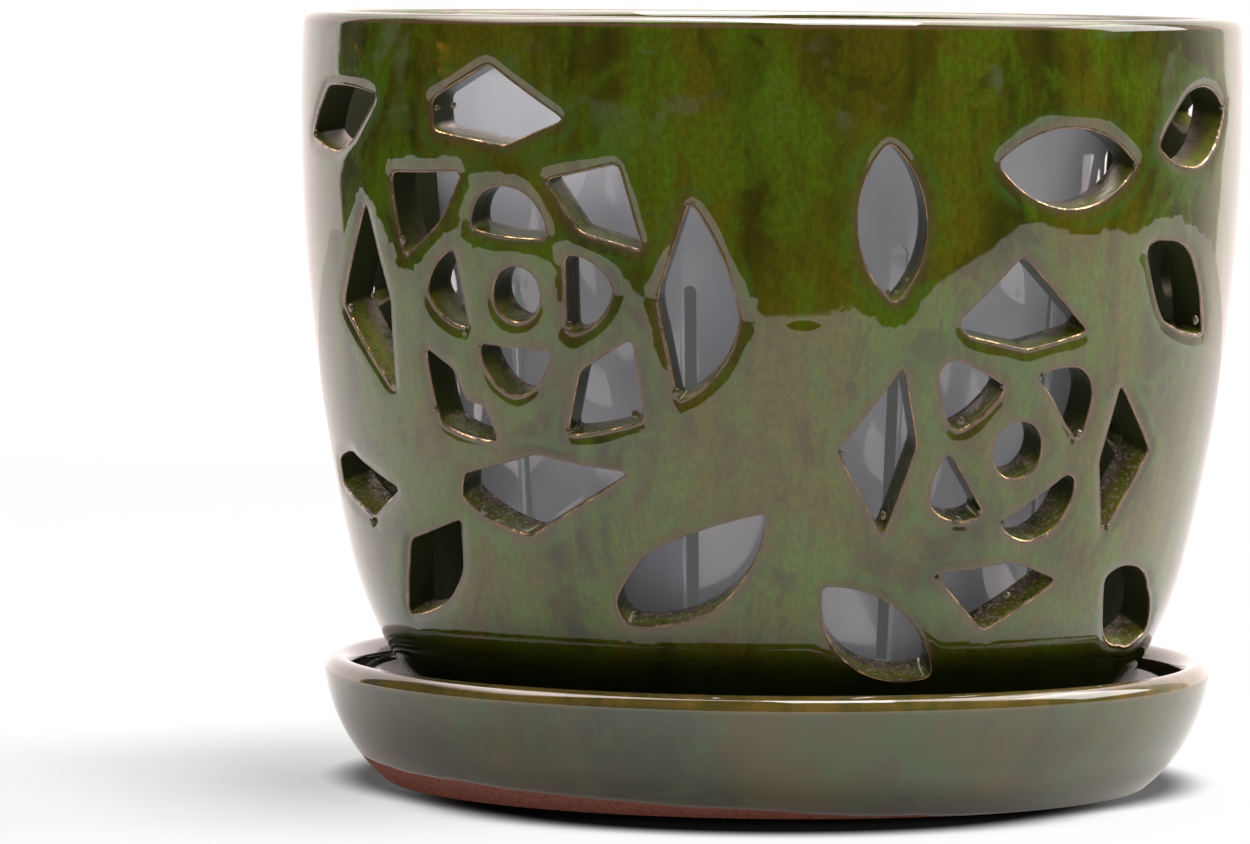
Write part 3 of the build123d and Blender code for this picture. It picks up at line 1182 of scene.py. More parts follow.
class Value:
    """A number that a node gives. Python's operators on it add Math nodes."""

    def __init__(self, paint: "Paint", socket: bpy.types.NodeSocket) -> None:
        """Wraps an output socket."""
        self.paint = paint
        self.socket = socket

    def _math(self, operation: str, first: Any, second: Any) -> "Value":
        """Adds one Math node and returns its result."""
        node = self.paint.node("ShaderNodeMath", {"operation": operation}, {0: first, 1: second})
        return Value(self.paint, node.outputs[0])

    def __add__(self, other: Any) -> "Value":
        """Sum."""
        return self._math("ADD", self, other)

    def __radd__(self, other: Any) -> "Value":
        """Sum, with a number first."""
        return self._math("ADD", other, self)

    def __sub__(self, other: Any) -> "Value":
        """Difference."""
        return self._math("SUBTRACT", self, other)

    def __rsub__(self, other: Any) -> "Value":
        """Difference, with a number first."""
        return self._math("SUBTRACT", other, self)

    def __mul__(self, other: Any) -> "Value":
        """Product."""
        return self._math("MULTIPLY", self, other)

    def __rmul__(self, other: Any) -> "Value":
        """Product, with a number first."""
        return self._math("MULTIPLY", other, self)

    def __truediv__(self, other: Any) -> "Value":
        """Quotient."""
        return self._math("DIVIDE", self, other)

    def __pow__(self, other: Any) -> "Value":
        """Power."""
        return self._math("POWER", self, other)

    def step(self, low: float, high: float) -> "Value":
        """A smooth step, up or down.

        Args:
            low: Where it is 0.
            high: Where it is 1, above low or below it.

        Returns:
            The step.
        """
        node = self.paint.node(
            "ShaderNodeMapRange",
            {"interpolation_type": "SMOOTHSTEP"},
            {"Value": self, "From Min": low, "From Max": high, "To Min": 0.0, "To Max": 1.0},
        )
        return Value(self.paint, node.outputs["Result"])


class Paint:
    """Builds one node tree."""

    def __init__(self, tree: bpy.types.NodeTree) -> None:
        """Empties the tree."""
        self.tree = tree
        tree.nodes.clear()

    @classmethod
    def material(cls, name: str) -> tuple["Paint", bpy.types.Material]:
        """Starts a material.

        Args:
            name: The material's name.

        Returns:
            The paint for its nodes, and the material.
        """
        made = bpy.data.materials.new(name)
        made.use_nodes = True
        return cls(made.node_tree), made

    def node(
        self,
        kind: str,
        settings: dict[str, Any] | None = None,
        inputs: dict[Any, Any] | None = None,
    ) -> bpy.types.Node:
        """Adds a node.

        Args:
            kind: The node's type.
            settings: Its properties.
            inputs: Its sockets' values, or the outputs that are linked to them.

        Returns:
            The node.
        """
        made = self.tree.nodes.new(kind)
        for key, value in (settings or {}).items():
            setattr(made, key, value)
        for key, value in (inputs or {}).items():
            if isinstance(value, Value):
                value = value.socket
            if isinstance(value, bpy.types.NodeSocket):
                self.tree.links.new(value, made.inputs[key])
            else:
                made.inputs[key].default_value = value
        return made

    def place(self) -> bpy.types.NodeSocket:
        """The piece's own coordinates, in metres."""
        return self.node("ShaderNodeTexCoord").outputs["Object"]

    def axes(self, vector: bpy.types.NodeSocket) -> tuple[Value, Value, Value]:
        """Takes a vector apart.

        Args:
            vector: The output that gives it.

        Returns:
            Its parts along X, Y and Z.
        """
        node = self.node("ShaderNodeSeparateXYZ", None, {"Vector": vector})
        x, y, z = (Value(self, output) for output in node.outputs)
        return x, y, z

    def distance(self, at: bpy.types.NodeSocket, point: Place) -> Value:
        """How far a place is from a point."""
        node = self.node("ShaderNodeVectorMath", {"operation": "DISTANCE"}, {0: at, 1: point})
        return Value(self, node.outputs["Value"])

    def rays(self) -> tuple[Value, Value]:
        """Asks where the light that is looked for goes.

        Returns:
            Whether the ray comes from the camera, and whether it is mirrored, as 0 or 1.
        """
        path = self.node("ShaderNodeLightPath")
        seen, mirrored = path.outputs["Is Camera Ray"], path.outputs["Is Glossy Ray"]
        return Value(self, seen), Value(self, mirrored)

    def attribute(self, name: str) -> Value:
        """A number that the mesh keeps at its points."""
        node = self.node("ShaderNodeAttribute", {"attribute_name": name})
        return Value(self, node.outputs["Fac"])

    def noise(
        self,
        at: bpy.types.NodeSocket,
        scale: tuple[float, float, float],
        detail: float = 3.0,
        rough: float = 0.5,
        warp: float = 0.0,
    ) -> Value:
        """Cloudy noise.

        Args:
            at: The coordinates.
            scale: Clouds in a metre, along each axis.
            detail: How many finer layers it has.
            rough: How strong they are.
            warp: How much it is distorted.

        Returns:
            A number from 0 to 1.
        """
        mapped = self.node("ShaderNodeMapping", {}, {"Vector": at, "Scale": scale})
        node = self.node(
            "ShaderNodeTexNoise",
            {},
            {
                "Vector": mapped.outputs[0],
                "Scale": 1.0,
                "Detail": detail,
                "Roughness": rough,
                "Distortion": warp,
            },
        )
        return Value(self, node.outputs["Fac"])

    def mix(self, share: Any, first: Any, second: Any) -> bpy.types.NodeSocket:
        """Mixes two colours.

        Args:
            share: How much of the second colour shows.
            first: The first colour, or the output that gives it.
            second: The second one.

        Returns:
            The output with the colour.
        """
        made = self.node("ShaderNodeMix", {"data_type": "RGBA"})
        for index, value in ((0, share), (6, first), (7, second)):
            if isinstance(value, Value):
                value = value.socket
            if isinstance(value, bpy.types.NodeSocket):
                self.tree.links.new(value, made.inputs[index])
            elif index:
                made.inputs[index].default_value = (*value, 1.0)
            else:
                made.inputs[index].default_value = value
        return made.outputs[2]

    def bump(self, height: Value, distance: float, under: Any = None) -> bpy.types.NodeSocket:
        """Makes a bumpy normal.

        Args:
            height: The height, from 0 to 1.
            distance: How high 1 is.
            under: The normal that it lies on, if there is one.

        Returns:
            The output with the normal.
        """
        inputs = {"Height": height, "Distance": distance, "Strength": 1.0}
        if under is not None:
            inputs["Normal"] = under
        return self.node("ShaderNodeBump", {}, inputs).outputs[0]

    def shader(self, kind: str, inputs: dict[str, Any]) -> bpy.types.NodeSocket:
        """Adds a shader of a kind, such as BsdfPrincipled, and returns its output."""
        return self.node(f"ShaderNode{kind}", {}, inputs).outputs[0]

    def blend(
        self, share: Any, first: bpy.types.NodeSocket, second: bpy.types.NodeSocket
    ) -> bpy.types.NodeSocket:
        """Mixes two shaders.

        Args:
            share: How much of the second one shows.
            first: The first shader.
            second: The second one.

        Returns:
            The output with both.
        """
        return self.node("ShaderNodeMixShader", {}, {0: share, 1: first, 2: second}).outputs[0]

    def end(self, shader: bpy.types.NodeSocket, kind: str = "OutputMaterial") -> None:
        """Ends the tree in a shader."""
        self.tree.links.new(shader, self.node(f"ShaderNode{kind}").inputs["Surface"])


@dataclass(frozen=True)
class PotGlaze:
    """Glassy green glaze with olive and brown streaks, thin and coppery on the cut edges.

    Heights, widths and distances in the methods are in millimetres. The gap is the distance
    outside the nearest cut edge, and less than 0 in the cut.
    """

    deep: Colour = (0.030, 0.034, 0.0030)
    olive: Colour = (0.112, 0.098, 0.0058)
    leaf_green: Colour = (0.088, 0.150, 0.0064)
    brown: Colour = (0.085, 0.038, 0.0030)
    high_grey: Colour = (0.150, 0.165, 0.095)
    rust: Colour = (0.330, 0.150, 0.015)
    bare: Colour = (0.170, 0.080, 0.048)
    thinned: Colour = (0.110, 0.066, 0.044)
    painted_glint_gold: Colour = (0.78, 0.50, 0.26)
    pooled: Colour = (0.020, 0.024, 0.0020)
    lime: Colour = (0.150, 0.155, 0.010)
    umber: Colour = (0.150, 0.105, 0.070)
    # cream: painted light on the high cut floors, and specks lower down
    speck_and_lit_cream: Colour = (0.46, 0.37, 0.33)
    # painted shade: a near-black that darkens the foot, where the saucer shades it
    foot: Colour = (0.0030, 0.0050, 0.0006)
    glow: Colour = (0.060, 0.125, 0.022)
    refraction: float = 1.62
    cut_refraction: float = 1.34
    roughness: float = 0.03
    lip_roughness: float = 0.2
    cut_roughness: float = 0.16
    side_roughness: float = 0.6
    ripple: float = 0.035 * MM
    lump: float = 0.22 * MM
    dimple: tuple[float, float] = (6.1, 90.2)
    dimple_size: tuple[float, float] = (3.5, 1.35)
    dimple_depth: float = 0.09 * MM

    def colour(self, paint: Paint, at: bpy.types.NodeSocket) -> bpy.types.NodeSocket:
        """Paints the glaze's colour away from the cut edges, with painted shade darkening its foot.

        Args:
            paint: The paint of the material.
            at: The piece's coordinates.

        Returns:
            The output with the colour.
        """
        x, _, z = (part / MM for part in paint.axes(at))
        runs = paint.noise(at, (46, 46, 6), 3, 0.6, 0.3)
        green = paint.noise(at, (62, 62, 24), 4, 0.65, 0.8)
        thin = paint.noise(at, (300, 300, 22), 3, 0.65)
        cloud = paint.noise(at, (70, 70, 55), 4, 0.65, 0.8)
        speck = paint.noise(at, (1100, 1100, 700), 2, 0.5)
        patch = paint.noise(at, (60, 60, 75), 3, 0.6, 0.5)
        high = z.step(116, 138)
        left = x.step(-45.0, -56.0) * high
        rim_line = z.step(143.15, 143.35) * z.step(143.85, 143.65)
        colour = paint.mix(runs.step(0.36, 0.60), self.deep, self.olive)
        for share, over in (
            (green.step(0.45, 0.62) * 0.85, self.leaf_green),
            (thin.step(0.48, 0.76) * 0.45, self.brown),
            (thin.step(0.42, 0.24) * 0.55, self.deep),
            (cloud.step(0.48, 0.64) * 0.55, self.leaf_green),
            (cloud.step(0.44, 0.34) * 0.5, self.deep),
            (speck.step(0.35, 0.65) * 0.3, self.deep),
            # pale grey patches, only high on the pot
            (patch.step(0.56, 0.68) * high * 0.45, self.high_grey),
            (patch.step(0.42, 0.36) * left * thin.step(0.4, 0.6) * 0.7, self.rust),
            (rim_line * 0.8, self.bare),
            # painted shade: below 38 mm the foot darkens nearly to black, in the saucer's shade
            (z.step(38.0, 26.0) * 0.9, self.foot),
        ):
            colour = paint.mix(share, colour, over)
        return colour

    def cut_colour(
        self, paint: Paint, at: bpy.types.NodeSocket, gap: Value, patchy: Value
    ) -> bpy.types.NodeSocket:
        """Paints the cut faces dark, with lime, umber and cream specks, and painted light high up.

        Args:
            paint: The paint of the material.
            at: The piece's coordinates.
            gap: The distance outside the nearest cut edge.
            patchy: Noise that the lips share.

        Returns:
            The output with the colour.
        """
        x, _, z = (part / MM for part in paint.axes(at))
        fleck = paint.noise(at, (520, 520, 520), 3, 0.65)
        spots = paint.noise(at, (1500, 1500, 1500), 2, 0.5).step(0.54, 0.64)
        bottom = paint.attribute("cut_floor").step(0.15, 0.7) * gap.step(-6.6, -6.2)
        # painted light: this mask puts cream on the high cut floors, where light from above and the
        # mirrored backdrop fall
        pale = bottom * gap.step(-1.2, -2.4) * z.step(108.0, 122.0) * x.step(60.0, 54.0)
        colour = self.pooled
        for share, over in (
            (bottom * gap.step(-4.6, -2.0) * fleck.step(0.2, 0.5), self.lime),
            (bottom * gap.step(-2.2, -4.2) * patchy.step(0.38, 0.56) * 0.85, self.umber),
            (pale * 0.85, self.speck_and_lit_cream),
            (spots * bottom * z.step(95.0, 60.0) * 0.55, self.speck_and_lit_cream),
        ):
            colour = paint.mix(share, colour, over)
        return colour

    def normal(self, paint: Paint, at: bpy.types.NodeSocket, gap: Value) -> bpy.types.NodeSocket:
        """Adds slow waves, an orange peel, lumps along the cut edges and one dimple.

        Args:
            paint: The paint of the material.
            at: The piece's coordinates.
            gap: The distance outside the nearest cut edge.

        Returns:
            The output with the normal.
        """
        x, y, z = paint.axes(at)
        waves = paint.noise(at, (105, 105, 60), 2, 0.5, 0.4)
        peel = paint.noise(at, (420, 420, 260), 3, 0.5)
        rough = paint.noise(at, (34, 34, 34), 2, 0.5).step(0.45, 0.65)
        lumps = paint.noise(at, (620, 620, 620), 3, 0.6)
        lumpy = lumps * gap.step(0.9, -0.1) * (1 - gap.step(-0.6, -1.6) * 0.75)
        across = (x / MM - self.dimple[0]) / self.dimple_size[0]
        up = (z / MM - self.dimple[1]) / self.dimple_size[1]
        inside = (across * across + up * up).step(1.0, 0.5) * y.step(0.0, -0.01)
        normal = paint.bump(waves, self.ripple)
        normal = paint.bump(peel * (0.4 + rough), self.ripple * 0.32, normal)
        normal = paint.bump(lumpy, self.lump, normal)
        return paint.bump(0.5 - up * inside * 0.5, self.dimple_depth, normal)

    def material(self) -> bpy.types.Material:
        """Makes the material: the glaze outside, thin and bare on the lips with painted gold
        glints, dull in the cuts.

        Returns:
            The material.
        """
        paint, made = Paint.material("pot_glaze")
        at = paint.place()
        x, _, z = (part / MM for part in paint.axes(at))
        gap = paint.attribute("edge_gap") / MM
        patchy = paint.noise(at, (260, 260, 260), 3, 0.6)
        uneven = paint.noise(at, (90, 90, 90), 3, 0.6).step(0.36, 0.62)
        wobble = gap + paint.noise(at, (700, 700, 700), 2, 0.6) * 0.5
        glow = gap.step(4.6, 2.9) * gap.step(1.9, 2.6) * z.step(28.0, 38.0) * uneven
        thinner = gap.step(2.4, 1.6) * 0.22 + gap.step(1.25, 0.75) * 0.4
        lip = wobble.step(0.55, 0.32) * wobble.step(-0.3, -0.05)
        upward = paint.attribute("cut_floor").step(0.2, 0.8)
        # painted highlight: gold metal in patches on the lips, mostly where they look up towards
        # the light
        glint = lip * patchy.step(0.44, 0.58) * (0.25 + upward * 0.75)
        colour = self.colour(paint, at)
        for share, over in (
            (glow * 0.55, self.glow),
            (thinner * z.step(26.0, 34.0), self.thinned),
            (lip * 0.9, self.bare),
            (glint, self.painted_glint_gold),
        ):
            colour = paint.mix(share, colour, over)
        aside = x.step(-56.0, -63.0) + x.step(60.0, 66.0)
        normal = self.normal(paint, at, gap)
        glazed = {
            "Base Color": colour,
            "Metallic": glint * 0.8,
            "Roughness": self.roughness + lip * self.lip_roughness,
            "IOR": self.refraction,
            "Normal": normal,
        }
        inside = {
            "Base Color": self.cut_colour(paint, at, gap, patchy),
            "Roughness": self.cut_roughness + aside * self.side_roughness,
            "IOR": self.cut_refraction,
            "Normal": normal,
        }
        paint.end(
            paint.blend(
                gap.step(-0.3, -0.7),
                paint.shader("BsdfPrincipled", glazed),
                paint.shader("BsdfPrincipled", inside),
            )
        )
        return made


@dataclass(frozen=True)
class SaucerGlaze:
    """The pot's glaze, greyer, over a foot of bare red clay."""

    deep: Colour = (0.040, 0.047, 0.014)
    olive: Colour = (0.085, 0.072, 0.014)
    leaf_green: Colour = (0.055, 0.088, 0.024)
    brown: Colour = (0.075, 0.045, 0.018)
    lip: Colour = (0.230, 0.140, 0.030)
    clay: Colour = (0.560, 0.225, 0.155)
    clay_dark: Colour = (0.300, 0.110, 0.078)
    edge: Colour = (0.16, 0.11, 0.07)
    refraction: float = 1.75
    clay_refraction: float = 1.2
    roughness: float = 0.05
    clay_roughness: float = 0.9
    ripple: float = 0.03 * MM
    glaze_step: float = 0.15 * MM
    clay_line: float = 1.5 * MM
    clay_slope: float = 0.044
    clay_wander: float = 1.6 * MM

    def material(self) -> bpy.types.Material:
        """Makes the material: the glaze above a wandering line and the clay below it.

        Returns:
            The material.
        """
        paint, made = Paint.material("saucer_glaze")
        at = paint.place()
        x, _, z = paint.axes(at)
        wide = paint.noise(at, (30, 30, 20), 3, 0.55, 0.3)
        fine = paint.noise(at, (170, 170, 60), 3, 0.6)
        blotch = paint.noise(at, (70, 70, 50), 4, 0.6, 0.5)
        wander = paint.noise(at, (45, 45, 45), 3, 0.6) - 0.5
        grain = paint.noise(at, (1500, 1500, 1500), 4, 0.7)
        waves = paint.noise(at, (105, 105, 80), 2, 0.5, 0.4)
        high = (z / MM + wide * 1.6).step(20.6, 22.2)
        line = self.clay_line - x * self.clay_slope
        above = (z - line - wander * self.clay_wander) / MM
        colour = paint.mix(wide.step(0.38, 0.62), self.deep, self.olive)
        for share, over in (
            (blotch.step(0.46, 0.66) * 0.8, self.leaf_green),
            (fine.step(0.52, 0.8) * 0.6, self.brown),
            (high * (0.35 + fine.step(0.35, 0.65) * 0.6), self.lip),
            (above.step(0.9, 0.35) * 0.7, self.edge),
        ):
            colour = paint.mix(share, colour, over)
        step = paint.bump(above.step(-0.1, 0.5), self.glaze_step)
        glazed = {
            "Base Color": colour,
            "Roughness": self.roughness + fine * 0.03,
            "IOR": self.refraction,
            "Normal": paint.bump(waves, self.ripple, step),
        }
        dull = {
            "Base Color": paint.mix(grain.step(0.3, 0.75), self.clay_dark, self.clay),
            "Roughness": self.clay_roughness,
            "IOR": self.clay_refraction,
            "Normal": paint.bump(grain, self.ripple, step),
        }
        paint.end(
            paint.blend(
                above.step(0.25, -0.05),
                paint.shader("BsdfPrincipled", glazed),
                paint.shader("BsdfPrincipled", dull),
            )
        )
        return made


@dataclass(frozen=True)
class LinerPlastic:
    """Frosted grey plastic that lets some light through, with painted shade on its inner side.

    Base and mouth are the radius and height, in millimetres, of two points of its outer side.
    """

    light: Colour = (0.82, 0.81, 0.86)
    dark: Colour = (0.68, 0.67, 0.72)
    # painted shade for the inner side, which little light reaches
    inner: Colour = (0.28, 0.295, 0.28)
    shine: Colour = (0.28, 0.275, 0.29)
    none: Colour = (0.0, 0.0, 0.0)
    refraction: float = 1.6
    through: float = 0.6
    depth: float = 1.5 * MM
    roughness: float = 0.05
    scuffed: float = 0.12
    ripple: float = 0.03 * MM
    base: tuple[float, float] = (55.8, 17.0)
    mouth: tuple[float, float] = (65.2, 139.0)

    def material(self) -> bpy.types.Material:
        """Makes the material.

        The upper part glows a little with painted light, as the light from the open top does down
        the wall.

        Returns:
            The material.
        """
        paint, made = Paint.material("liner_plastic")
        at = paint.place()
        x, y, z = (part / MM for part in paint.axes(at))
        taper = (self.mouth[0] - self.base[0]) / (self.mouth[1] - self.base[1])
        outside = (z - self.base[1]) * taper + self.base[0]
        inner = ((x * x + y * y) ** 0.5 - outside).step(-0.8, -1.0)
        cloud = paint.noise(at, (40, 40, 14), 3, 0.5)
        scuff = paint.noise(at, (600, 600, 60), 3, 0.6)
        waves = paint.noise(at, (40, 40, 25), 2, 0.4)
        # painted light: a faint emission on the outer side near the top, more on the left
        lit = z.step(103.0, 129.0) * z.step(137.0, 133.0) * (1 - inner) * x.step(22.0, -36.0)
        colour = paint.mix(cloud.step(0.3, 0.7), self.dark, self.light)
        plastic = {
            # painted shade: the inner side is darker below its mouth
            "Base Color": paint.mix(inner * z.step(136.0, 130.0), colour, self.inner),
            "Roughness": self.roughness + scuff.step(0.5, 0.9) * self.scuffed,
            "IOR": self.refraction,
            "Subsurface Weight": self.through,
            "Subsurface Radius": (1.0, 1.0, 1.0),
            "Subsurface Scale": self.depth,
            "Normal": paint.bump(waves, self.ripple),
            "Emission Color": paint.mix(lit, self.none, self.shine),
            "Emission Strength": 1.0,
        }
        paint.end(paint.shader("BsdfPrincipled", plastic))
        return made


# The pieces


def pot_section() -> WallSection:
    """Sets the section of the pot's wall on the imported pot's box.

    Returns:
        The section.
    """
    low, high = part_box(Part.POT.value)
    return WallSection(
        belly_radius=high.x,
        belly_z=high.z - 15.0 * MM,
        heel_radius=high.x - 10.3 * MM,
        heel_z=low.z + 36.3 * MM,
        foot_radius=high.x - 32.3 * MM,
        foot_z=low.z,
        thickness=6.6 * MM,
    )


@dataclass(frozen=True)
class Bead:
    """A bead of glaze that ran together on a cut edge.

    Azimuth is in degrees, height and size in millimetres; tall is its height over its width.
    The other sizes are shares of its own size.
    """

    azimuth: float
    height: float
    size: float
    tall: float = 1.0
    radius_share: float = 0.85
    least_sunk: float = 0.15
    reach: float = 0.9
    swell: float = 0.34
    swell_scale: float = 0.9
    swell_spread: float = 900.0
    taper: float = 0.35
    flatness: float = 0.7

    def make(self, wall: WallSection) -> bpy.types.Object:
        """Builds the bead, half sunk into the wall.

        Args:
            wall: The section of the pot's wall.

        Returns:
            The bead.
        """
        azimuth = math.radians(self.azimuth)
        size = self.radius_share * self.size * MM
        lean = float(wall.lean_at(np.array(self.height * MM)))
        radius, _ = wall.section_point(np.array(lean))
        sunk = max(self.least_sunk * size, float(radius) + self.reach * size - wall.belly_radius)
        at = wall.place(np.array(azimuth), np.array(lean), sunk)
        bpy.ops.mesh.primitive_ico_sphere_add(subdivisions=3, radius=size)
        made = bpy.context.active_object
        for vertex in made.data.vertices:
            spot = vertex.co * (self.swell_scale / size) + Vector(at) * self.swell_spread
            vertex.co = vertex.co * (1 + self.swell * noise.noise(spot))
            lower = min(vertex.co.z, 0.0)
            vertex.co.z += lower * (self.tall - 1)
            vertex.co.x *= 1 + self.taper * (self.tall - 1) * lower / (size * self.tall)
            vertex.co.y *= self.flatness
        made.rotation_euler = (0.0, 0.0, azimuth)
        made.location = at
        bpy.ops.object.transform_apply(location=True, rotation=True, scale=True)
        return made


@dataclass
class Pot:
    """The pierced pot: its wall, its rim, its foot and the beads of its glaze."""

    rim_rounding: float = 2.4 * MM
    floor_rise: float = 10.0 * MM
    ring_width: float = 8.0 * MM
    ring_height: float = 3.0 * MM
    drain_radius: float = 9.0 * MM
    edge: float = 0.9 * MM
    cove: float = 1.5 * MM
    wall_low: float = 9.0 * MM
    inner_low: float = 13.0 * MM
    wall_high: float = 2.6 * MM
    lowest_cut: float = 5.0 * MM
    highest_cut: float = 3.0 * MM
    outline_step: float = 0.9 * MM
    corner_passes: int = 4
    rim_steps: int = 7
    foot_rows: int = 7
    inner_rows: int = 4
    inner_reach: float = 1.0 * MM
    plain_gap: float = 50 * MM
    bead_gap: float = 0.62 * MM
    weld: float = 0.02 * MM
    glaze: PotGlaze = PotGlaze()
    beads: tuple[Bead, ...] = (
        Bead(-24.5, 89.4, 0.9),
        Bead(-39.6, 87.5, 0.7, 1.6),
        Bead(-49.3, 103.9, 0.8, 1.5),
        Bead(-23.2, 107.6, 0.55),
        Bead(-37.1, 106.5, 0.55),
        Bead(-62.4, 90.6, 0.9, 1.3),
        Bead(-56.4, 93.2, 0.6),
        Bead(-45.6, 73.1, 0.8),
        Bead(-39.1, 54.8, 1.1, 1.2),
        Bead(-25.2, 70.3, 0.8),
        Bead(-16.4, 73.6, 0.9),
        Bead(-65.6, 50.6, 0.8, 1.8),
        Bead(-11.2, 78.0, 0.9, 1.4),
        Bead(-9.2, 111.8, 0.5, 1.3),
        Bead(13.9, 96.3, 0.5),
        Bead(14.9, 96.3, 0.5),
        Bead(16.1, 98.5, 0.4),
        Bead(14.7, 55.9, 0.7, 1.7),
        Bead(9.0, 67.3, 0.5),
        Bead(24.0, 72.9, 0.9),
        Bead(29.4, 79.0, 0.55),
        Bead(35.2, 80.8, 0.5),
        Bead(41.9, 70.1, 0.85, 1.3),
        Bead(24.7, 54.8, 0.9),
        Bead(27.8, 56.2, 0.5),
        Bead(31.8, 54.0, 0.5),
        Bead(56.5, 66.2, 0.6),
        Bead(50.3, 52.2, 0.6, 1.5),
        Bead(23.1, 44.2, 0.6),
        Bead(33.8, 40.6, 0.9),
        Bead(69.9, 128.9, 0.9),
        Bead(64.5, 89.8, 0.9, 1.3),
        Bead(48.0, 118.6, 0.6),
        Bead(-43.1, 128.0, 0.7),
        Bead(-40.5, 128.6, 0.7),
        Bead(-73.1, 122.3, 0.9),
    )

    def rim(self, wall: WallSection, top: float, start: float) -> list[tuple[float, float]]:
        """Shapes the rim.

        Args:
            wall: The section of the wall.
            top: The rim's height.
            start: The height at which the pierced wall ends.

        Returns:
            The rim's section, from the outside of the wall over to its inside.
        """
        return rounded(
            [
                (float(wall.radius_at(start)), start, 0.0),
                (float(wall.radius_at(top)), top, self.rim_rounding),
                (float(wall.radius_at(top, wall.thickness)), top, self.rim_rounding),
                (float(wall.radius_at(start, wall.thickness)), start, 0.0),
            ],
            self.rim_steps,
        )

    def base(self, wall: WallSection, outer_z: float, inner_z: float) -> list[tuple[float, float]]:
        """Shapes the foot, the floor and the wall below the openings.

        Args:
            wall: The section of the wall.
            outer_z: The height at which the pierced wall's outside ends.
            inner_z: The height at which its inside ends.

        Returns:
            The section, from the wall's outside under the foot to its inside.
        """
        foot = wall.foot_z
        hollow = foot + self.ring_height
        floor = foot + self.floor_rise
        outer = np.linspace(outer_z, foot, self.foot_rows)
        radius = wall.radius_at(outer)
        corners = [(float(r), float(z), 0.0) for r, z in zip(radius, outer)][:-1]
        foot_r = float(radius[-1])
        ring_r = foot_r - self.ring_width
        inner = np.linspace(floor, inner_z, self.inner_rows)
        inner_r = wall.radius_at(inner, wall.thickness)
        corners += [
            (foot_r, foot, self.edge),
            (ring_r, foot, self.edge),
            (ring_r, hollow, self.edge),
            (self.drain_radius, hollow, self.edge),
            (self.drain_radius, floor, self.edge),
            (float(inner_r[0]), floor, self.cove),
        ]
        corners += [(float(r), float(z), 0.0) for r, z in zip(inner_r, inner)][2:]
        return rounded(corners)

    def make(self) -> bpy.types.Object:
        """Builds the wall, the rim, the foot and the beads and joins them.

        Returns:
            The pot.
        """
        wall = pot_section()
        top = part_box(Part.POT.value)[1].z
        reader = CutReader(wall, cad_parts[Part.POT.value])
        rim_start = top - self.wall_high
        cuts = reader.read(
            wall.foot_z + self.lowest_cut,
            top - self.highest_cut,
            self.outline_step,
            self.corner_passes,
        )
        log.info("%d openings", len(cuts))
        outer_low = wall.foot_z + self.wall_low
        inner_low = wall.foot_z + self.inner_low
        pierced = PiercedWall(wall, cuts, outer_low, rim_start, inner_low)
        body = pierced.make()
        lathe = Lathe(pierced.columns, pierced.seam)
        rim = lathe.turn("pot_rim", self.rim(wall, top, rim_start))
        base = lathe.turn("pot_base", self.base(wall, outer_low, inner_low))
        inside = wall.belly_radius - wall.thickness + self.inner_reach
        for part, inner_z in ((rim, rim_start), (base, inner_low)):
            mark_gap(part, self.plain_gap, inner_z, inside)
        drops = [bead.make(wall) for bead in self.beads]
        for drop in drops:
            mark_gap(drop, self.bead_gap)
        return join([body, rim, base, *drops], "glazed_pot", self.weld)

    def dressed(self) -> bpy.types.Object:
        """The pot with its glaze, in its place in the frame."""
        return dress(self.make(), self.glaze.material(), Part.POT)


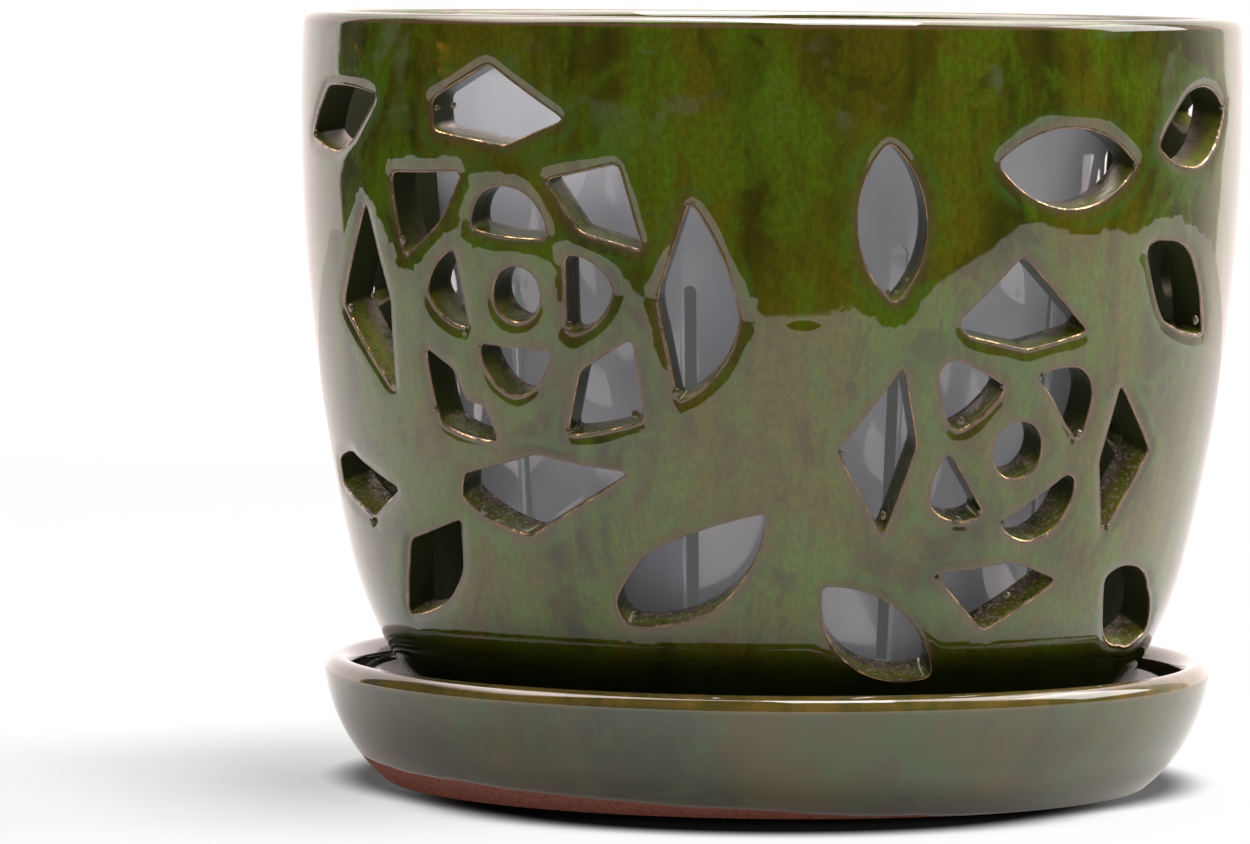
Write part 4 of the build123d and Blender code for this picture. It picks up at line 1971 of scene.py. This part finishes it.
@dataclass
class Saucer:
    """The saucer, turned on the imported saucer's box."""

    lip_width: float = 5.0 * MM
    lip_rise: float = 3.7 * MM
    flare: float = 11.5 * MM
    bulge: float = 2.1 * MM
    floor: float = 7.0 * MM
    floor_radius: float = 66.5 * MM
    dish: float = 2.4 * MM
    ring_width: float = 9.0 * MM
    ring_height: float = 1.5 * MM
    shoulder_radius: float = 83.7 * MM
    edge: float = 0.7 * MM
    under_radius: float = 8 * MM
    floor_middle: float = 30 * MM
    floor_flat: float = 0.97
    body_steps: int = 16
    dish_steps: int = 10
    columns: int = 256
    weld: float = 0.001 * MM
    glaze: SaucerGlaze = SaucerGlaze()

    def section(self) -> list[tuple[float, float]]:
        """Shapes the saucer.

        Returns:
            The section, from the middle of the underside out and over the lip to the floor.
        """
        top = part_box(Part.SAUCER.value)[1].z
        lip_z = top - self.lip_rise
        shoulder = (self.shoulder_radius, lip_z)
        inner = (self.shoulder_radius - self.lip_width, lip_z)
        foot = (self.shoulder_radius - self.flare, 0.0)
        run = Vector((shoulder[0] - foot[0], shoulder[1] - foot[1]))
        middle = (Vector(foot) + Vector(shoulder)) / 2
        middle += Vector((run.y, -run.x)).normalized() * self.bulge
        outer = arc(foot, tuple(middle), shoulder, self.body_steps)
        floor_edge = (self.floor_radius, self.floor)
        drop = Vector((floor_edge[0] - inner[0], floor_edge[1] - inner[1]))
        dip = (Vector(inner) + Vector(floor_edge)) / 2
        dip += Vector((-drop.y, drop.x)).normalized() * self.dish
        ring_r = foot[0] - self.ring_width
        under = rounded(
            [
                (self.under_radius, self.ring_height, 0.0),
                (ring_r, self.ring_height, self.edge),
                (ring_r, 0.0, self.edge),
                (foot[0], 0.0, self.edge),
                (*outer[1], 0.0),
            ]
        )
        lip_top = (self.shoulder_radius - self.lip_width / 2, top)
        points = under + outer[2:] + arc(shoulder, lip_top, inner, self.body_steps)
        points += arc(inner, tuple(dip), floor_edge, self.dish_steps)
        flat = (self.floor_radius * self.floor_flat, self.floor_middle, 0)
        return points + [(radius, self.floor) for radius in flat]

    def make(self) -> bpy.types.Object:
        """Builds the saucer."""
        made = Lathe(self.columns).turn("glazed_saucer", self.section(), capped=True)
        return join([made], "glazed_saucer", self.weld)

    def dressed(self) -> bpy.types.Object:
        """The saucer with its glaze, in its place in the frame."""
        return dress(self.make(), self.glaze.material(), Part.SAUCER)


@dataclass
class Liner:
    """The slotted liner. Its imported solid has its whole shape, and is shown as it is."""

    plastic: LinerPlastic = LinerPlastic()

    def dressed(self) -> bpy.types.Object:
        """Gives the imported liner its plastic.

        Returns:
            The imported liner.
        """
        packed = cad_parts[Part.LINER.value]
        packed.data.materials.clear()
        packed.data.materials.append(self.plastic.material())
        return packed


# Studio


@dataclass(frozen=True)
class Lamp:
    """A softbox that looks at the pot. Its size is its width and height, its power in watts."""

    name: str
    at: Place
    size: tuple[float, float]
    power: float
    aim: Place = (0.0, 0.0, 0.07)

    def make(self) -> bpy.types.Object:
        """Hangs the lamp.

        Returns:
            The lamp.
        """
        data = bpy.data.lights.new(self.name, "AREA")
        data.shape = "RECTANGLE"
        data.size, data.size_y = self.size
        data.energy = self.power
        made = bpy.data.objects.new(self.name, data)
        bpy.context.scene.collection.objects.link(made)
        made.location = self.at
        aim = Vector(self.aim) - Vector(self.at)
        made.rotation_euler = aim.to_track_quat("-Z", "Y").to_euler()
        return made


@dataclass
class Studio:
    """The pale table, the soft lamps, the surroundings and the camera.

    Each reach is a pair of distances on the table, between which something rises or falls. The
    backdrop and what stands beside it are spans of azimuth, in degrees, seen from the pot.
    """

    table_front: float = 0.442
    table_back: float = 0.9
    table_reach: float = 0.95
    table_glare: float = 1.48
    paper: Colour = (0.9, 0.9, 0.9)
    shade: Colour = (0.008, 0.008, 0.008)
    white: Colour = (1.0, 1.0, 1.0)
    warm_white: Colour = (1.0, 0.88, 0.87)
    shadow_middle: Place = (-0.001, -0.038, 0.0)
    shadow_reach: tuple[float, float] = (0.053, 0.067)
    foot_reach: tuple[float, float] = (0.086, 0.075)
    foot_shadow: float = 0.85
    bright_reach: tuple[float, float] = (0.055, 0.072)
    bright_share: float = 0.88
    left_reach: tuple[float, float] = (-0.03, -0.10)
    left_shadow: float = 0.45
    far_reach: tuple[float, float] = (0.14, 0.36)
    far_share: float = 0.5
    mirror_reach: tuple[float, float] = (0.1, 0.28)
    mirror_near: float = 0.22
    mirror_more: float = 0.58
    backdrop: tuple[float, float] = (-50.0, 38.0)
    backdrop_glare: float = 1.6
    wings_reach: tuple[float, float] = (12.0, 8.0)
    wings_glare: float = 0.1
    side_width: float = 46.0
    side_glare: float = 0.9
    side_less: float = 0.55
    overhead_z: tuple[float, float] = (0.55, 0.85)
    overhead_y: tuple[float, float] = (-0.22, -0.04)
    overhead_glare: float = 6.5
    room: float = 0.015
    ambient_z: tuple[float, float] = (0.6, 0.35)
    ambient_low: float = 0.64
    ambient_high: float = 0.12
    lamps: tuple[Lamp, ...] = (
        Lamp("overhead", (0.15, 0.05, 1.4), (1.3, 0.5), 18.0),
        Lamp("key", (1.3, 0.35, 0.9), (0.9, 0.9), 14.0),
    )
    distance: float = 1.513
    height: float = 0.1581
    focal_pixels: float = 7993.0
    horizon_row: float = -56.7
    axis_column: float = 769.0
    roll: float = 0.52
    sensor: float = 36.0

    def paper_material(self) -> bpy.types.Material:
        """Makes the table's paper: white round the pot, with a painted shadow where the saucer
        meets it.

        Returns:
            The material.
        """
        paint, made = Paint.material("white_paper")
        at = paint.place()
        x, _, _ = paint.axes(at)
        out = paint.distance(at, (0.0, 0.0, 0.0))
        near = paint.distance(at, self.shadow_middle)
        camera, glossy = paint.rays()
        aside = x.step(*self.left_reach) * self.left_shadow
        bright = near.step(*self.bright_reach) * (self.bright_share - aside)
        share = camera * (bright + out.step(*self.far_reach) * self.far_share)
        # painted shade: the warm glow that the glaze mirrors of the table is dimmer near the pot
        mirrored = glossy * (out.step(*self.mirror_reach) * self.mirror_more + self.mirror_near)
        # painted shadow: for the camera, a near-black ring under the saucer's front edge
        contact = 1 - out.step(*self.foot_reach) * self.foot_shadow
        painted_contact_shadow = camera * (1 - near.step(*self.shadow_reach) * contact)
        paper = paint.shader("BsdfDiffuse", {"Color": (*self.paper, 1.0)})
        glow = paint.shader("Emission", {"Color": (*self.white, 1.0), "Strength": 1.0})
        warm = {"Color": (*self.warm_white, 1.0), "Strength": self.table_glare}
        shade = paint.shader("BsdfDiffuse", {"Color": (*self.shade, 1.0)})
        seen = paint.blend(share, paper, glow)
        both = paint.blend(mirrored, seen, paint.shader("Emission", warm))
        paint.end(paint.blend(painted_contact_shadow, both, shade))
        return made

    def table(self) -> bpy.types.Object:
        """Adds the white table that the pot stands on.

        Returns:
            The table.
        """
        bpy.ops.object.select_all(action="DESELECT")
        bpy.ops.mesh.primitive_plane_add(size=2, location=(0, 0, 0))
        made = bpy.context.active_object
        made.name = "table"
        depth = (self.table_front + self.table_back) / 2
        middle = (self.table_back - self.table_front) / 2
        made.scale = (self.table_reach, depth, 1)
        made.location = (0, middle, 0)
        bpy.ops.object.transform_apply(location=True, rotation=True, scale=True)
        made.data.materials.append(self.paper_material())
        return made

    def surroundings(self) -> None:
        """Adds a world that is white for the camera.

        What the glaze mirrors is a white backdrop behind the pot, its wings, a glow at its right
        side, a light overhead and a dim room before it. Other light is plain and low.
        """
        world = bpy.data.worlds.new("studio")
        world.use_nodes = True
        bpy.context.scene.world = world
        paint = Paint(world.node_tree)
        x, y, z = paint.axes(paint.node("ShaderNodeTexCoord").outputs["Generated"])
        turn = paint.node("ShaderNodeMath", {"operation": "ARCTAN2"}, {0: x, 1: y})
        turn = Value(paint, turn.outputs[0]) * math.degrees(1.0)
        left, right = self.backdrop
        far_left, far_right = left - self.wings_reach[0], right + self.wings_reach[1]
        back = turn.step(left - 1, left + 1) * turn.step(right + 1, right - 1)
        wings = turn.step(far_left - 1, far_left + 1) * turn.step(far_right + 1, far_right - 1)
        side = turn.step(right + self.side_width, right) * turn.step(0.0, right)
        overhead = z.step(*self.overhead_z) * y.step(*self.overhead_y)
        strength = self.room + side * (self.side_glare - back * self.side_less)
        strength = strength + wings * self.wings_glare + back * self.backdrop_glare
        strength = strength + overhead * self.overhead_glare
        camera, glossy = paint.rays()
        low = z.step(*self.ambient_z) * (self.ambient_low - self.ambient_high)
        plain = (1 - camera - glossy) * (low + self.ambient_high)
        level = camera + glossy * strength + plain
        tint = paint.mix(glossy, self.white, self.warm_white)
        paint.end(paint.shader("Background", {"Color": tint, "Strength": level}), "OutputWorld")

    def camera(self) -> bpy.types.Object:
        """Adds the camera at the picture's viewing angle.

        Returns:
            The camera.
        """
        data = bpy.data.cameras.new("camera")
        data.sensor_width = self.sensor
        data.lens = self.sensor * self.focal_pixels / PICTURE_WIDTH
        made = bpy.data.objects.new("camera", data)
        bpy.context.scene.collection.objects.link(made)
        yaw = math.atan((self.axis_column - PICTURE_WIDTH / 2) / self.focal_pixels)
        pitch = math.atan((PICTURE_HEIGHT / 2 - self.horizon_row) / self.focal_pixels)
        roll = math.radians(self.roll)
        ahead = Vector(
            (-math.sin(yaw) * math.cos(pitch), math.cos(yaw) * math.cos(pitch), -math.sin(pitch))
        )
        right = ahead.cross(Vector((0, 0, 1))).normalized()
        up = right.cross(ahead)
        turned_right = right * math.cos(roll) + up * math.sin(roll)
        turned_up = up * math.cos(roll) - right * math.sin(roll)
        turn = Matrix((turned_right, turned_up, -ahead)).transposed()
        made.matrix_world = Matrix.Translation((0, -self.distance, self.height)) @ turn.to_4x4()
        bpy.context.scene.camera = made
        return made

    def make(self) -> None:
        """Sets the studio up."""
        self.table()
        self.surroundings()
        for lamp in self.lamps:
            lamp.make()
        self.camera()
        bpy.context.scene.view_settings.view_transform = "Standard"


def dress(
    piece: bpy.types.Object, material: bpy.types.Material, part: Part
) -> bpy.types.Object:
    """Gives a piece its finish and its place in the frame.

    Args:
        piece: The piece.
        material: Its finish.
        part: The part whose body it moves with and whose node it stands for.

    Returns:
        The piece.
    """
    piece.data.materials.clear()
    piece.data.materials.append(material)
    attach(piece, part.value)
    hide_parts(part.value)
    return piece


def main() -> None:
    """Sets up the studio, builds and reports each piece, and notes the sizes."""
    logging.basicConfig(level=logging.INFO, format="%(message)s")
    Studio().make()
    for maker in (Pot(), Saucer(), Liner()):
        piece = maker.dressed()
        triangles = sum(len(face.vertices) - 2 for face in piece.data.polygons)
        log.info("%s: %d triangles", piece.name, triangles)


if __name__ == "__main__":
    main()
